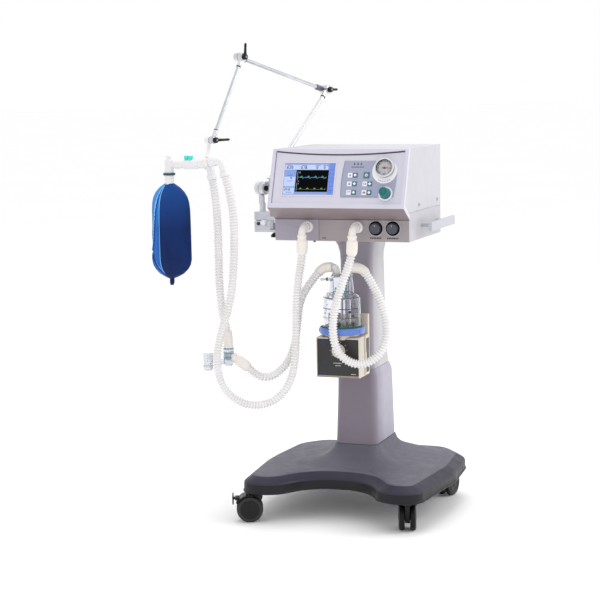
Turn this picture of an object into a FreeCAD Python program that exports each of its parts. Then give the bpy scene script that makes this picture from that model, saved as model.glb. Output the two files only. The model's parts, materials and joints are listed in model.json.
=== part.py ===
"""Mechanical ventilator on a trolley, with its support arm, humidifier and breathing circuit.

Millimetres, +Z up. X runs along the front of the ventilator, to the operator's right, and the
front faces -Y. The origin is on the floor, midway between the four castor swivels.
"""
import FreeCAD, Part
import math
import os

V = FreeCAD.Vector
UP = V(0, 0, 1)

# ---- driving dimensions ------------------------------------------------------------------
FIT = 0.06                 # radial clearance of a running fit
GAP = 0.3                  # clearance between pieces that move past each other

# trolley
CASTOR_X, CASTOR_Y = 222.0, 236.0
WHEEL_R, WHEEL_W, WHEEL_TRAIL = 38.0, 16.0, 25.0
AXLE_R, STEM_R = 4.0, 5.5
RIM_Z, RIM_TOP = 87.0, 117.0
BEVEL_TOP, PLATEAU_TOP = 135.0, 146.0
COVER_WALL = 4.0
COLUMN_Y = 80.0            # centre of the steel post
POST_SIDE, POST_WALL = 60.0, 3.0
FOOT_Z, SHOULDER_Z = 190.0, 412.0

# ventilator case
CASE_HALF = 200.0
CASE_FRONT, CASE_BACK = -118.0, 211.5
CASE_BOTTOM, CHIN_Z, SEAM_Z, CASE_TOP = 798.0, 860.0, 879.3, 1059.0
CASE_WALL = 2.0
MODULE_X = -67.0           # right edge of the expiratory module cover
BEZEL_Y, BEZEL_Z = -176.4, 896.0
BEZEL_TILT = 70.28         # degrees from level to the front panel
PANEL_DEPTH = 4.0          # recess of the front panel behind its frame
PORT_Z, PORT_REACH = 839.0, 52.0
PORTS_X = (-100.0, 49.0)
DIAL_KNOBS_X, DIAL_KNOBS_Z = (102.0, 152.0), 836.0
RAIL_X, RAIL_THICK, RAIL_TALL, RAIL_Z = 240.0, 10.0, 25.0, 836.0
RAIL_FRONT, RAIL_REAR = -44.0, 206.0
POWER_X, POWER_Z = 110.0, 850.0
GAS_X, GAS_Z, GAS_R = (-120.0, -70.0), 850.0, 9.0

# support arm, in the vertical plane through its stem
ARM_X, ARM_Y, ARM_HEADING = -275.0, -22.0, 20.5
ARM_JOINTS = {"shoulder": (0.0, 941.0), "elbow": (297.0, 1223.0),
              "top": (-85.0, 1321.0), "wrist": (-215.0, 1089.0)}
KNUCKLE_W, BOLT_R = 15.0, 3.0

# humidifier
HUM_X, HUM_HALF = -6.0, 63.5
HUM_FRONT, HUM_BACK, HUM_Z, HUM_TOP = -150.0, -48.0, 410.0, 526.0
POT_Y, POT_R = -104.0, 54.0
POT_Z, DOME_Z, DOME_TOP, TOWER_TOP = 532.0, 555.0, 650.0, 700.0
POT_PORTS = (-22.0, 14.0)
POT_PORT_Z = 722.0

# breathing circuit
HOSE_D = 26.0
TUBE_R = 11.0              # outside of a 22 mm circuit fitting
LUNG_X, LUNG_Y = -471.0, -245.0
LIMB_FRONT = [(-396, -249, 1023), (-304, -257.8, 1031.8), (-294, -259, 993)]
LIMB_REAR = [(-400, -240, 1021), (-352, -229, 1019), (-346, -229, 983)]
HOSES = {
    "hose_expiratory": [
        (-294, -259, 993), (-286.5, -259.9, 963.9), (-276, -262, 925), (-268, -264, 870),
        (-267, -266, 805), (-270, -268, 735), (-277, -269, 665), (-292, -271, 602),
        (-312, -272, 545), (-327, -272, 480), (-322, -272, 418), (-296, -271, 372),
        (-250, -264, 343), (-195, -251, 340), (-146, -238, 366), (-118, -225, 415),
        (-111, -210, 475), (-112, -199, 545), (-115, -187, 620), (-111, -177, 694),
        (-100, -170, 762), (-100, -170, 806)],
    "hose_inspiratory": [
        (-346, -229, 983), (-341, -229, 953), (-334, -231, 905), (-331, -230, 842),
        (-331, -228, 772), (-333, -226, 702), (-331, -223, 637), (-326, -219, 582), (-314, -213, 538),
        (-314, -213, 508)],
    "hose_humidifier_outlet": [
        (-290, -209, 462), (-260, -204, 442), (-234, -199, 416), (-203, -194, 409), (-174, -188, 424),
        (-149, -182, 450), (-132, -176, 486), (-123, -169, 527), (-121, -161, 568), (-120, -153, 606),
        (-113, -144, 641), (-99, -132, 668), (-82, -118, 695), (-60, -104, 722), (-40, -104, 722)],
    "hose_humidifier_inlet": [
        (49, -170, 806), (49, -170, 772), (36, -175, 728), (18, -182, 676), (3, -188, 625),
        (-5, -191, 576), (-4, -190, 532), (6, -187, 493), (31, -182, 467), (63, -174, 455),
        (95, -163, 462), (121, -151, 485), (136, -140, 519), (138, -132, 556), (130, -124, 592),
        (114, -116, 628), (94, -109, 664), (73, -104, 698), (54, -104, 722), (32, -104, 722)],
}


# ---- small helpers -----------------------------------------------------------------------
def save(name, shape):
    """Write one sub-part."""
    os.makedirs("parts", exist_ok=True)
    shape.exportStep("parts/" + name + ".step")


def box(x0, x1, y0, y1, z0, z1):
    return Part.makeBox(x1 - x0, y1 - y0, z1 - z0, V(x0, y0, z0))


def rod(radius, start, end):
    """A round bar from one point to another."""
    a, b = V(*start), V(*end)
    return Part.makeCylinder(radius, (b - a).Length, a, b - a)


def disc(radius, x, y, z0, z1):
    return Part.makeCylinder(radius, z1 - z0, V(x, y, z0), UP)


def union(shapes):
    first, rest = shapes[0], shapes[1:]
    return first.fuse(rest).removeSplitter() if rest else first


def rounded_wire(corners, z):
    """A closed level outline; each corner is (x, y, fillet radius)."""
    edges = []
    count = len(corners)
    ends = []
    for i in range(count):
        here = V(corners[i][0], corners[i][1], z)
        back = V(corners[i - 1][0], corners[i - 1][1], z) - here
        ahead = V(corners[(i + 1) % count][0], corners[(i + 1) % count][1], z) - here
        back.normalize()
        ahead.normalize()
        half = back.getAngle(ahead) / 2
        reach = corners[i][2] / math.tan(half)
        middle = (back + ahead).normalize() * (corners[i][2] / math.sin(half) - corners[i][2])
        ends.append((here + back * reach, here + middle, here + ahead * reach))
    for i in range(count):
        start, middle, end = ends[i]
        edges.append(Part.Arc(start, middle, end).toShape())
        edges.append(Part.LineSegment(end, ends[(i + 1) % count][0]).toShape())
    return Part.Wire(edges)


def loft(wires, ruled=True):
    return Part.makeLoft(wires, True, ruled)


def plate(corners, z0, z1):
    """A rounded outline, raised from z0 to z1."""
    return Part.Face(rounded_wire(corners, z0)).extrude(V(0, 0, z1 - z0))


def side_prism(points, x0, x1):
    """A polygon of (y, z) points, drawn out along X."""
    corners = [V(x0, y, z) for y, z in points]
    return Part.Face(Part.makePolygon(corners + corners[:1])).extrude(V(x1 - x0, 0, 0))


def tube_path(points):
    """Straight runs joined by arcs as large as the runs allow; returns the wire and the radii."""
    pts = [V(*p) for p in points]
    edges, radii = [], []
    last = pts[0]
    for i in range(1, len(pts) - 1):
        back, ahead = pts[i - 1] - pts[i], pts[i + 1] - pts[i]
        reach = 0.45 * min(back.Length, ahead.Length)
        back.normalize()
        ahead.normalize()
        half = back.getAngle(ahead) / 2
        radius = reach * math.tan(half)
        radii.append(radius)
        start, end = pts[i] + back * reach, pts[i] + ahead * reach
        middle = pts[i] + (back + ahead).normalize() * (radius / math.sin(half) - radius)
        edges.append(Part.LineSegment(last, start).toShape())
        edges.append(Part.Arc(start, middle, end).toShape())
        last = end
    edges.append(Part.LineSegment(last, pts[-1]).toShape())
    return Part.Wire(edges), radii


def tube(points, radius, name=None):
    """A round solid along a route; a named one prints its radii and its volume check."""
    path, radii = tube_path(points)
    start, ahead = V(*points[0]), V(*points[1]) - V(*points[0])
    profile = Part.Wire(Part.Circle(start, ahead, radius).toShape())
    solid = path.makePipeShell([profile], True, False)
    if name:
        ratio = solid.Volume / (math.pi * radius ** 2 * path.Length)
        text = " ".join("%.0f" % r for r in radii)
        print("%s: length %.0f mm, volume ratio %.3f, radii %s" % (name, path.Length, ratio, text))
    return solid


# ---- trolley base ------------------------------------------------------------------------
def base_outline(inset=0.0):
    """Butterfly plan: a concave front edge, two front lobes, straight sides and a straight back."""
    right = [(80, -156, 120), (158, -278, 34), (262, -278, 42), (292, 20, 260), (276, 214, 70),
             (204, 302, 70)]
    width, back, front = 292.0, 300.0, -278.0
    middle = (back + front) / 2
    half_y = (back - front) / 2
    sx = (width - inset) / width
    sy = (half_y - inset) / half_y
    points = [(x * sx, middle + (y - middle) * sy, r) for x, y, r in right]
    mirrored = [(-x, y, r) for x, y, r in reversed(points)]
    return points + mirrored


def pedestal_section(z, half, front, rear, radius, inset):
    half, front, rear = half - inset, front + inset, rear - inset
    return rounded_wire([(half, front, radius), (half, rear, radius),
                         (-half, rear, radius), (-half, front, radius)], z)


def pedestal(inset, low, high):
    """The concave flare from the base up to the column foot."""
    flare = [(low, 150, -100, 258, 60), (150, 116, -72, 236, 46), (156, 96, -52, 220, 40),
             (164, 82, -36, 206, 34), (175, 72, -24, 196, 28), (high, 67, -17, 191, 24)]
    return loft([pedestal_section(z, h, f, r, q, inset) for z, h, f, r, q in flare])


def base_form(inset):
    """The outer form of the base, or with an inset the hollow inside it."""
    low = RIM_Z if inset == 0 else RIM_Z - 1
    rim = plate(base_outline(inset), low, RIM_TOP - inset)
    bevel = loft([rounded_wire(base_outline(inset), RIM_TOP - inset),
                  rounded_wire(base_outline(30 + inset), BEVEL_TOP - inset)])
    crown = loft([pedestal_section(BEVEL_TOP - inset - 1, 212, -128, 268, 120, inset),
                  pedestal_section(PLATEAU_TOP - inset, 128, -82, 244, 60, inset)])
    foot = pedestal(inset, RIM_TOP, FOOT_Z if inset == 0 else FOOT_Z + 1)
    return union([rim, bevel, crown, foot])


def make_base_cover():
    lip = plate(base_outline(-2.5), RIM_Z, RIM_Z + 5)
    return union([base_form(0), lip]).cut(base_form(COVER_WALL))


def make_base_frame():
    """Steel cross of box beams with a castor socket at each corner and a plate for the post."""
    pieces = [box(-90, 90, COLUMN_Y - 90, COLUMN_Y + 90, 113, 121)]
    bores = []
    for sx in (-1, 1):
        for sy in (-1, 1):
            x, y = sx * CASTOR_X, sy * CASTOR_Y
            pieces.append(disc(15, x, y, 88, 112))
            bores.append(disc(STEM_R + FIT, x, y, 80, 108))
            reach = math.hypot(x, y - COLUMN_Y)
            beam = box(0, reach, -18, 18, 89, 113)
            beam.rotate(V(0, 0, 0), UP, math.degrees(math.atan2(y - COLUMN_Y, x)))
            beam.translate(V(0, COLUMN_Y, 0))
            pieces.append(beam)
    return union(pieces).cut(Part.makeCompound(bores))


def make_column_post():
    """Square steel tube with a foot flange and a top flange that carries the case."""
    half = POST_SIDE / 2
    post = box(-half, half, COLUMN_Y - half, COLUMN_Y + half, 121, 792)
    foot = box(-55, 55, COLUMN_Y - 55, COLUMN_Y + 55, 121, 129)
    head = box(-55, 55, COLUMN_Y - 65, COLUMN_Y + 55, 790, CASE_BOTTOM)
    inner = half - POST_WALL
    bore = box(-inner, inner, COLUMN_Y - inner, COLUMN_Y + inner, 121, 790)
    return union([post, foot, head]).cut(bore)


def column_shell(sections, wall):
    """A shell through rounded rectangles (z, half width, front y, rear y, corner radius)."""
    outer, inner = [], []
    for z, half, front, rear, radius in sections:
        outer.append(pedestal_section(z, half, front, rear, radius, 0))
        inner.append(pedestal_section(z, half, front, rear, radius - wall, wall))
    return loft(outer).cut(loft(inner))


def make_column_lower_cover():
    return column_shell([(FOOT_Z + 0.2, 64, -14, 188, 22), (330, 61, -4, 183, 21),
                         (392, 60, -3, 178, 21), (404, 57, -1.5, 172, 20),
                         (SHOULDER_Z, 54.5, -0.5, 166, 19)], 3)


def make_column_upper_cover():
    return column_shell([(SHOULDER_Z + 0.2, 53.5, 0.5, 163, 18), (450, 52, 1, 155, 17),
                         (560, 50.5, 2, 146, 16), (730, 50, 6, 135, 16), (752, 51, 5, 136, 16),
                         (772, 55, 0, 140, 17), (787, 61, -8, 146, 18),
                         (CASE_BOTTOM - 0.3, 68, -18, 154, 20)], 3)


# ---- castors -----------------------------------------------------------------------------
CASTORS = {"front_left": (-1, -1, 201.9), "front_right": (1, -1, 106.5),
           "rear_left": (-1, 1, 20.0), "rear_right": (1, 1, 258.0)}
WEB_PROFILE = [(-60, -20), (-60, 60), (60, 60), (60, 41), (14, -14), (-14, -20)]
BRAKE_PIN = (WHEEL_TRAIL + 38, WHEEL_R + 30)


def place_castor(shape, corner):
    """A castor is drawn trailing along +X, then turned to its heading on its stem."""
    sx, sy, heading = CASTORS[corner]
    moved = shape.copy()
    moved.rotate(V(0, 0, 0), UP, heading)
    moved.translate(V(sx * CASTOR_X, sy * CASTOR_Y, 0))
    return moved


def castor_fork():
    """Stem, centre web between the two wheels, and the hood over them."""
    hood_in, hood_out, half = WHEEL_R + 2, WHEEL_R + 5, 27.0
    centre = V(WHEEL_TRAIL, -half, WHEEL_R)
    ring = Part.makeCylinder(hood_out, 2 * half, centre, V(0, 1, 0))
    ring = ring.cut(Part.makeCylinder(hood_in, 2 * half, centre, V(0, 1, 0)))
    keep = side_wedge(WHEEL_TRAIL, WHEEL_R, [(-60, -20), (-60, 60), (60, 60), (60, 41), (0, 0)], half)
    hood = ring.common(keep)
    web = Part.makeCylinder(hood_out, 16, V(WHEEL_TRAIL, -8, WHEEL_R), V(0, 1, 0))
    web = web.common(side_wedge(WHEEL_TRAIL, WHEEL_R, WEB_PROFILE, 8))
    boss = disc(13, 0, 0, 60, 86.5)
    boss = boss.cut(Part.makeCylinder(hood_in, 2 * half, centre, V(0, 1, 0)))
    stem = disc(STEM_R, 0, 0, 80, 106)
    fork = union([hood, web, boss, stem])
    axle_hole = rod(AXLE_R + FIT, (WHEEL_TRAIL, -9, WHEEL_R), (WHEEL_TRAIL, 9, WHEEL_R))
    return fork.cut(axle_hole)


def side_wedge(x, z, points, half):
    """A polygon in the XZ plane round a centre, drawn out along Y."""
    corners = [V(x + px, -half, z + pz) for px, pz in points]
    return Part.Face(Part.makePolygon(corners + corners[:1])).extrude(V(0, 2 * half, 0))


def castor_wheels():
    """Twin wheels with a dished outer face, on one axle."""
    solids = []
    for side in (-1, 1):
        inner, outer = side * 10.0, side * (10.0 + WHEEL_W)
        tyre = rod(WHEEL_R, (WHEEL_TRAIL, inner, WHEEL_R), (WHEEL_TRAIL, outer, WHEEL_R))
        rims = [e for e in tyre.Edges if e.Curve.TypeId == "Part::GeomCircle"]
        tyre = tyre.makeFillet(4.0, rims)
        dish = rod(28, (WHEEL_TRAIL, outer - side * 1.5, WHEEL_R), (WHEEL_TRAIL, outer + side, WHEEL_R))
        solids.append(tyre.cut(dish))
    axle = rod(AXLE_R, (WHEEL_TRAIL, -20, WHEEL_R), (WHEEL_TRAIL, 20, WHEEL_R))
    return union([axle] + solids)


def castor_brake():
    """Foot lever on a pin across the trailing end of the hood."""
    x, z = BRAKE_PIN
    hub = rod(4.5, (x, -9, z), (x, 9, z))
    stem = box(x, x + 9, -5, 5, z - 3, z + 3)
    pad = box(x + 8, x + 12, -20, 20, z - 14, z + 11)
    return union([hub, stem, pad]).cut(rod(2.0 + FIT, (x, -10, z), (x, 10, z)))


def brake_bracket():
    """The two lugs and the pin that hold a brake lever."""
    x, z = BRAKE_PIN
    pin = rod(2.0, (x, -14, z), (x, 14, z))
    lugs = [box(x - 7, x + 4, side, side + 4, z - 4, z + 4) for side in (-14, 10)]
    return [pin] + lugs


def make_castors():
    for corner in CASTORS:
        fork = castor_fork()
        if corner.startswith("front"):
            fork = union([fork] + brake_bracket())
            save("castor_brake_" + corner, place_castor(castor_brake(), corner))
        save("castor_fork_" + corner, place_castor(fork, corner))
        save("castor_wheels_" + corner, place_castor(castor_wheels(), corner))


# ---- ventilator case ---------------------------------------------------------------------
CASE_SIDE = [(CASE_FRONT, CHIN_Z), (BEZEL_Y, BEZEL_Z), (CASE_FRONT, CASE_TOP), (-105.2, CASE_TOP),
             (-160.6, 904.6), (-128.0, SEAM_Z), (CASE_FRONT, SEAM_Z)]


def on_panel(shape):
    """Place a shape drawn on the front panel: X right, Y up the slope, Z outward."""
    panel = FreeCAD.Placement(V(0, BEZEL_Y, BEZEL_Z), FreeCAD.Rotation(V(1, 0, 0), BEZEL_TILT))
    placed = shape.copy()
    placed.Placement = panel.multiply(shape.Placement)
    return placed


def panel_recess():
    """The sunk front panel, with a drooping upper edge under the hood of the case."""
    left, right, low, high, droop = -192.0, 191.0, 14.0, 168.0, 158.0
    top = Part.Arc(V(right, high, 0), V(0, droop, 0), V(left, high, 0)).toShape()
    sides = [Part.LineSegment(V(left, high, 0), V(left, low, 0)).toShape(),
             Part.LineSegment(V(left, low, 0), V(right, low, 0)).toShape(),
             Part.LineSegment(V(right, low, 0), V(right, high, 0)).toShape()]
    face = Part.Face(Part.Wire([top] + sides))
    return face.extrude(V(0, 0, 10)).translated(V(0, 0, -PANEL_DEPTH))


DISPLAY = (-161.5, -9.5, 39.5, 132.5)
KEYS = {"key_upper_left": (51, 97, 13), "key_middle_left": (51, 72, 13), "key_lower_left": (51, 47, 13),
        "key_upper_right": (84, 97, 17), "key_middle_right": (96, 72, 13), "key_lower_right": (96, 47, 13)}
GAUGE_X, GAUGE_S, GAUGE_R = 136.0, 117.0, 27.5
SURROUND_S, SURROUND_R = 109.0, 36.0
KNOB_X, KNOB_S, KNOB_R = 144.0, 44.0, 15.5


def key_box(name, grow, z0, z1):
    x, s, side = KEYS[name]
    half = side / 2 + grow
    return box(x - half, x + half, s - half, s + half, z0, z1)


def make_front_bezel():
    body = side_prism(CASE_SIDE, -201.5, 201.5)
    left, right, low, high = DISPLAY
    cuts = [panel_recess(), box(left - 0.2, right + 0.2, low - 0.2, high + 0.2, -20, 0)]
    cuts += [key_box(name, 0.35, -9.5, 0) for name in KEYS]
    cuts.append(Part.makeCylinder(BOLT_R + FIT, 20, V(KNOB_X, KNOB_S, -20), UP))
    cuts.append(Part.makeCylinder(6.0, 20, V(GAUGE_X, GAUGE_S, -20), UP))
    hollow = side_prism([(-118, 884), (-146, 905), (-98, 1040), (-90, 1040), (-90, 884)], -120, 120)
    return body.cut([on_panel(c) for c in cuts]).cut(hollow.cut(on_panel(box(-200, 200, 0, 180, -12, 5))))


def make_display_window():
    return on_panel(box(*DISPLAY, -PANEL_DEPTH - 4, -PANEL_DEPTH + 0.6))


def make_keypad_panel():
    """Thin overlay with a bowed left edge, cut for the keys, the gauge surround and the knob."""
    low, high = 34.0, 139.0
    left = Part.Arc(V(13, low, 0), V(11, 78, 0), V(17, high, 0)).toShape()
    corners = [V(17, high, 0), V(172, high, 0), V(172, 80, 0), V(167, low, 0), V(13, low, 0)]
    face = Part.Face(Part.Wire([left] + Part.makePolygon(corners).Edges))
    sheet = face.extrude(V(0, 0, 1.2)).translated(V(0, 0, -PANEL_DEPTH))
    cuts = [key_box(name, 0.35, -10, 0) for name in KEYS]
    cuts.append(Part.makeCylinder(SURROUND_R + 0.2, 20, V(GAUGE_X, SURROUND_S, -10), UP))
    cuts.append(Part.makeCylinder(21.0, 20, V(KNOB_X, KNOB_S, -10), UP))
    cuts.append(box(GAUGE_X, GAUGE_X + 60, SURROUND_S, high + 10, -10, 10))
    return on_panel(sheet.cut(cuts))


def make_keys():
    for name in KEYS:
        body = key_box(name, 0, -7.2, -1.2)
        tops = [e for e in body.Edges if e.BoundBox.ZMin > -1.3]
        save(name, on_panel(body.makeChamfer(0.6, tops)))


def make_gauge():
    """Airway pressure gauge: housing with its white surround, and the needle."""
    base = Part.makeCylinder(SURROUND_R, 2.6, V(GAUGE_X, SURROUND_S, -PANEL_DEPTH), UP)
    can = Part.makeCylinder(GAUGE_R, 13.5, V(GAUGE_X, GAUGE_S, -PANEL_DEPTH), UP)
    well = Part.makeCylinder(23.5, 20, V(GAUGE_X, GAUGE_S, 1.0), UP)
    pivot = Part.makeCylinder(1.2, 2.6, V(GAUGE_X, GAUGE_S, 0.5), UP)
    spout = Part.makeCylinder(5.5, 14, V(GAUGE_X, GAUGE_S, -17), UP)
    body = base.fuse([can, spout]).cut(well).fuse(pivot)
    save("gauge_body", on_panel(body.removeSplitter()))
    hub = Part.makeCylinder(3.0, 1.2, V(GAUGE_X, GAUGE_S, 1.7), UP)
    hub = hub.cut(Part.makeCylinder(1.2 + FIT, 6, V(GAUGE_X, GAUGE_S, 0), UP))
    outline = [V(2.5, -1, 0), V(19, -0.3, 0), V(19, 0.3, 0), V(2.5, 1, 0), V(2.5, -1, 0)]
    pointer = Part.Face(Part.makePolygon(outline)).extrude(V(0, 0, 0.8))
    pointer = pointer.translated(V(GAUGE_X, GAUGE_S, 1.9))
    tail = box(GAUGE_X - 7, GAUGE_X - 2.5, GAUGE_S - 1.2, GAUGE_S + 1.2, 1.9, 2.7)
    save("gauge_needle", on_panel(union([hub, pointer, tail])))


def knob(radius, length, x, y, grip=6):
    """A lobed control knob drawn on Z, with a shaft behind it."""
    body = Part.makeCylinder(radius, length, V(x, y, 0), UP)
    top = [e for e in body.Edges if e.BoundBox.ZMin > length - 0.1]
    body = body.makeFillet(2.5, top)
    flutes = []
    for i in range(grip):
        angle = 2 * math.pi * i / grip
        out = V(math.cos(angle), math.sin(angle), 0) * (radius + 4.2)
        flutes.append(Part.makeCylinder(5.0, length, V(x, y, 4) + out, UP))
    return body.cut(flutes)


def make_pressure_knob():
    grip = knob(KNOB_R, 22, KNOB_X, KNOB_S, 8)
    grip.translate(V(0, 0, -PANEL_DEPTH + 3.5))
    shaft = Part.makeCylinder(BOLT_R, 16, V(KNOB_X, KNOB_S, -15), UP)
    save("pressure_knob", on_panel(union([grip, shaft])))


def make_case_knobs():
    """The two grey knobs in their cups on the lower front."""
    names = ("volume_knob", "rate_knob")
    for name, x in zip(names, DIAL_KNOBS_X):
        grip = knob(18.0, 16, 0, 0, 10)
        shaft = Part.makeCylinder(BOLT_R, 12, V(0, 0, -11.5), UP)
        body = union([grip, shaft])
        body.rotate(V(0, 0, 0), V(1, 0, 0), 90)
        body.translate(V(x, CASE_FRONT + 5.4, DIAL_KNOBS_Z))
        save(name, body)


def make_lower_case():
    """Sheet-metal tray: floor, sides and front, with the knob cups and the inspiratory port hole."""
    outer = box(-CASE_HALF, CASE_HALF, CASE_FRONT, CASE_BACK - 3, CASE_BOTTOM, SEAM_Z)
    w = CASE_WALL
    inner = box(-CASE_HALF + w, CASE_HALF - w, CASE_FRONT + w, CASE_BACK, CASE_BOTTOM + w, SEAM_Z + 1)
    above_chin = box(-CASE_HALF + w, CASE_HALF - w, CASE_FRONT - 1, CASE_FRONT + w + 1, CHIN_Z, SEAM_Z + 1)
    module = box(-CASE_HALF - 1, MODULE_X, CASE_FRONT - 1, -60, CASE_BOTTOM - 1, CHIN_Z)
    tray = outer.cut([inner, above_chin, module])
    cups, cuts = [], []
    for x in DIAL_KNOBS_X:
        cups.append(rod(22.5, (x, CASE_FRONT, DIAL_KNOBS_Z), (x, CASE_FRONT + 12, DIAL_KNOBS_Z)))
        cuts.append(rod(21.0, (x, CASE_FRONT - 1, DIAL_KNOBS_Z), (x, CASE_FRONT + 6, DIAL_KNOBS_Z)))
        cuts.append(rod(BOLT_R + FIT, (x, CASE_FRONT, DIAL_KNOBS_Z), (x, CASE_FRONT + 14, DIAL_KNOBS_Z)))
    cuts.append(rod(TUBE_R, (PORTS_X[1], CASE_FRONT - 1, PORT_Z), (PORTS_X[1], CASE_FRONT + 5, PORT_Z)))
    return union([tray] + cups).cut(cuts)


def make_expiratory_cover():
    """The module cover left of the seam: front plate, left cheek and sole."""
    shell = box(-CASE_HALF, MODULE_X - 0.4, CASE_FRONT, -60.4, CASE_BOTTOM, CHIN_Z - 0.3)
    inner = box(-CASE_HALF + 3, MODULE_X - 3.4, CASE_FRONT + 3, -50, CASE_BOTTOM + 3, CHIN_Z)
    hole = rod(TUBE_R, (PORTS_X[0], CASE_FRONT - 1, PORT_Z), (PORTS_X[0], CASE_FRONT + 5, PORT_Z))
    return shell.cut([inner, hole])


def make_upper_case():
    """Folded cover: roof and both sides, meeting the slope of the front panel."""
    profile = [(-105.0, CASE_TOP), (CASE_BACK - 3, CASE_TOP), (CASE_BACK - 3, SEAM_Z + 0.3),
               (-127.8, SEAM_Z + 0.3), (-160.4, 904.8)]
    outer = side_prism(profile, -CASE_HALF, CASE_HALF)
    w = CASE_WALL
    inner = box(-CASE_HALF + w, CASE_HALF - w, -200, CASE_BACK, SEAM_Z - 1, CASE_TOP - w)
    return outer.cut(inner)


def make_rear_panel():
    """Back plate with a vent grille and holes for the inlets."""
    panel = box(-CASE_HALF, CASE_HALF, CASE_BACK - 3, CASE_BACK, CASE_BOTTOM, CASE_TOP)
    slots = [box(60, 150, CASE_BACK - 5, CASE_BACK + 1, z, z + 4) for z in range(960, 1020, 10)]
    slots.append(box(POWER_X - 25, POWER_X + 25, CASE_BACK - 5, CASE_BACK + 1, POWER_Z - 15, POWER_Z + 15))
    for x in GAS_X:
        slots.append(rod(10.0, (x, CASE_BACK - 5, GAS_Z), (x, CASE_BACK + 1, GAS_Z)))
    return panel.cut(slots)


def make_power_inlet():
    """Mains appliance inlet with three flat pins in a moulded well."""
    body = box(POWER_X - 24.5, POWER_X + 24.5, CASE_BACK - 22, CASE_BACK, POWER_Z - 14.5, POWER_Z + 14.5)
    flange = box(POWER_X - 29, POWER_X + 29, CASE_BACK, CASE_BACK + 3, POWER_Z - 18, POWER_Z + 18)
    well = box(POWER_X - 12, POWER_X + 12, CASE_BACK - 17, CASE_BACK + 4, POWER_Z - 8, POWER_Z + 8)
    pins = []
    for dx, dz in ((-7, -2), (0, 2), (7, -2)):
        x, z = POWER_X + dx, POWER_Z + dz
        pins.append(box(x - 1, x + 1, CASE_BACK - 18, CASE_BACK - 1, z - 2, z + 2))
    return union([body, flange]).cut(well).fuse(pins)


def make_gas_inlets():
    """Two threaded inlets, oxygen and air: nut, flange and spigot."""
    solids = []
    for x in GAS_X:
        spigot = rod(GAS_R, (x, CASE_BACK - 14, GAS_Z), (x, CASE_BACK + 26, GAS_Z))
        collar = rod(14.0, (x, CASE_BACK, GAS_Z), (x, CASE_BACK + 5, GAS_Z))
        bore = rod(4.0, (x, CASE_BACK - 15, GAS_Z), (x, CASE_BACK + 27, GAS_Z))
        solids.append(union([spigot, collar]).cut(bore))
    return Part.makeCompound(solids)


def make_main_board():
    """Control board behind the front panel, with its larger components."""
    board = box(-150, 150, -84, -82.4, 905, 1030)
    places = ((-120, 930, 40, 40), (-50, 940, 26, 60), (20, 920, 60, 24), (60, 965, 30, 30))
    chips = [box(x, x + w, -88, -84, z, z + h) for x, z, w, h in places]
    return union([board] + chips)


def make_gas_mixer():
    """Valve manifold on the floor of the case."""
    block = box(-60, 60, 20, 110, CASE_BOTTOM + CASE_WALL, 850)
    valves = [disc(14, x, 65, 850, 905) for x in (-38, 0, 38)]
    return union([block] + valves)


def make_port_elbows():
    """The two elbows on the front ports: collar, forward tube, bend and downward tube."""
    solids = []
    for x in PORTS_X:
        front = CASE_FRONT - PORT_REACH
        route = [(x, CASE_FRONT, PORT_Z), (x, front, PORT_Z), (x, front, PORT_Z - 33)]
        outer, inner = elbow(route, TUBE_R, 22), elbow(route, TUBE_R - 2, 22)
        collar = rod(16.0, (x, CASE_FRONT, PORT_Z), (x, CASE_FRONT - 9, PORT_Z))
        solids.append(union([outer, collar]).cut(inner))
    return Part.makeCompound(solids)


def elbow(route, radius, bend):
    """A tube with one square bend."""
    a, b, c = [V(*p) for p in route]
    back, ahead = (a - b).normalize(), (c - b).normalize()
    start, end = b + back * bend, b + ahead * bend
    middle = b + (back + ahead) * bend * (1 - math.sqrt(0.5))
    path = Part.Wire([Part.LineSegment(a, start).toShape(), Part.Arc(start, middle, end).toShape(),
                      Part.LineSegment(end, c).toShape()])
    return path.makePipeShell([Part.Wire(Part.Circle(a, b - a, radius).toShape())], True, False)


def make_side_rails():
    """Equipment rails on both sides, each on two posts."""
    solids = []
    for side in (-1, 1):
        x0, x1 = sorted((side * (RAIL_X - RAIL_THICK / 2), side * (RAIL_X + RAIL_THICK / 2)))
        bar = box(x0, x1, RAIL_FRONT, RAIL_REAR, RAIL_Z - RAIL_TALL / 2, RAIL_Z + RAIL_TALL / 2)
        posts = [rod(6.0, (side * CASE_HALF, y, RAIL_Z), (side * RAIL_X, y, RAIL_Z)) for y in (10, 170)]
        solids.append(union([bar] + posts))
    return Part.makeCompound(solids)


# ---- support arm -------------------------------------------------------------------------
HEADING = V(math.sin(math.radians(ARM_HEADING)), math.cos(math.radians(ARM_HEADING)), 0)
ACROSS = V(HEADING.y, -HEADING.x, 0)


def arm_point(name, across=0.0):
    """A joint of the arm, moved sideways along its axis."""
    along, z = ARM_JOINTS[name]
    return V(ARM_X, ARM_Y, z) + HEADING * along + ACROSS * across


def knuckle(name, side, radius=13.0):
    """One half of a clamped hinge, on one side of the arm's plane."""
    start = GAP / 2 if side > 0 else -KNUCKLE_W
    return Part.makeCylinder(radius, KNUCKLE_W - GAP / 2, arm_point(name, start), ACROSS)


def bolt_hole(name):
    return Part.makeCylinder(BOLT_R + FIT, 60, arm_point(name, -30), ACROSS)


def arm_tube(first, second, side, radius, first_knuckle, second_knuckle):
    """A tube with a collar and half a hinge at each end, all on one side of the arm's plane."""
    offset = side * KNUCKLE_W / 2
    a, b = arm_point(first, offset), arm_point(second, offset)
    along = (b - a).normalize()
    tube_body = Part.makeCylinder(radius, a.distanceToPoint(b), a, along)
    collars = [Part.makeCylinder(radius + 1.2, 22, a + along * 8, along),
               Part.makeCylinder(radius + 1.2, 22, b - along * 30, along)]
    ends = [knuckle(first, side, first_knuckle), knuckle(second, side, second_knuckle)]
    return union([tube_body] + collars + ends).cut([bolt_hole(first), bolt_hole(second)])


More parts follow.
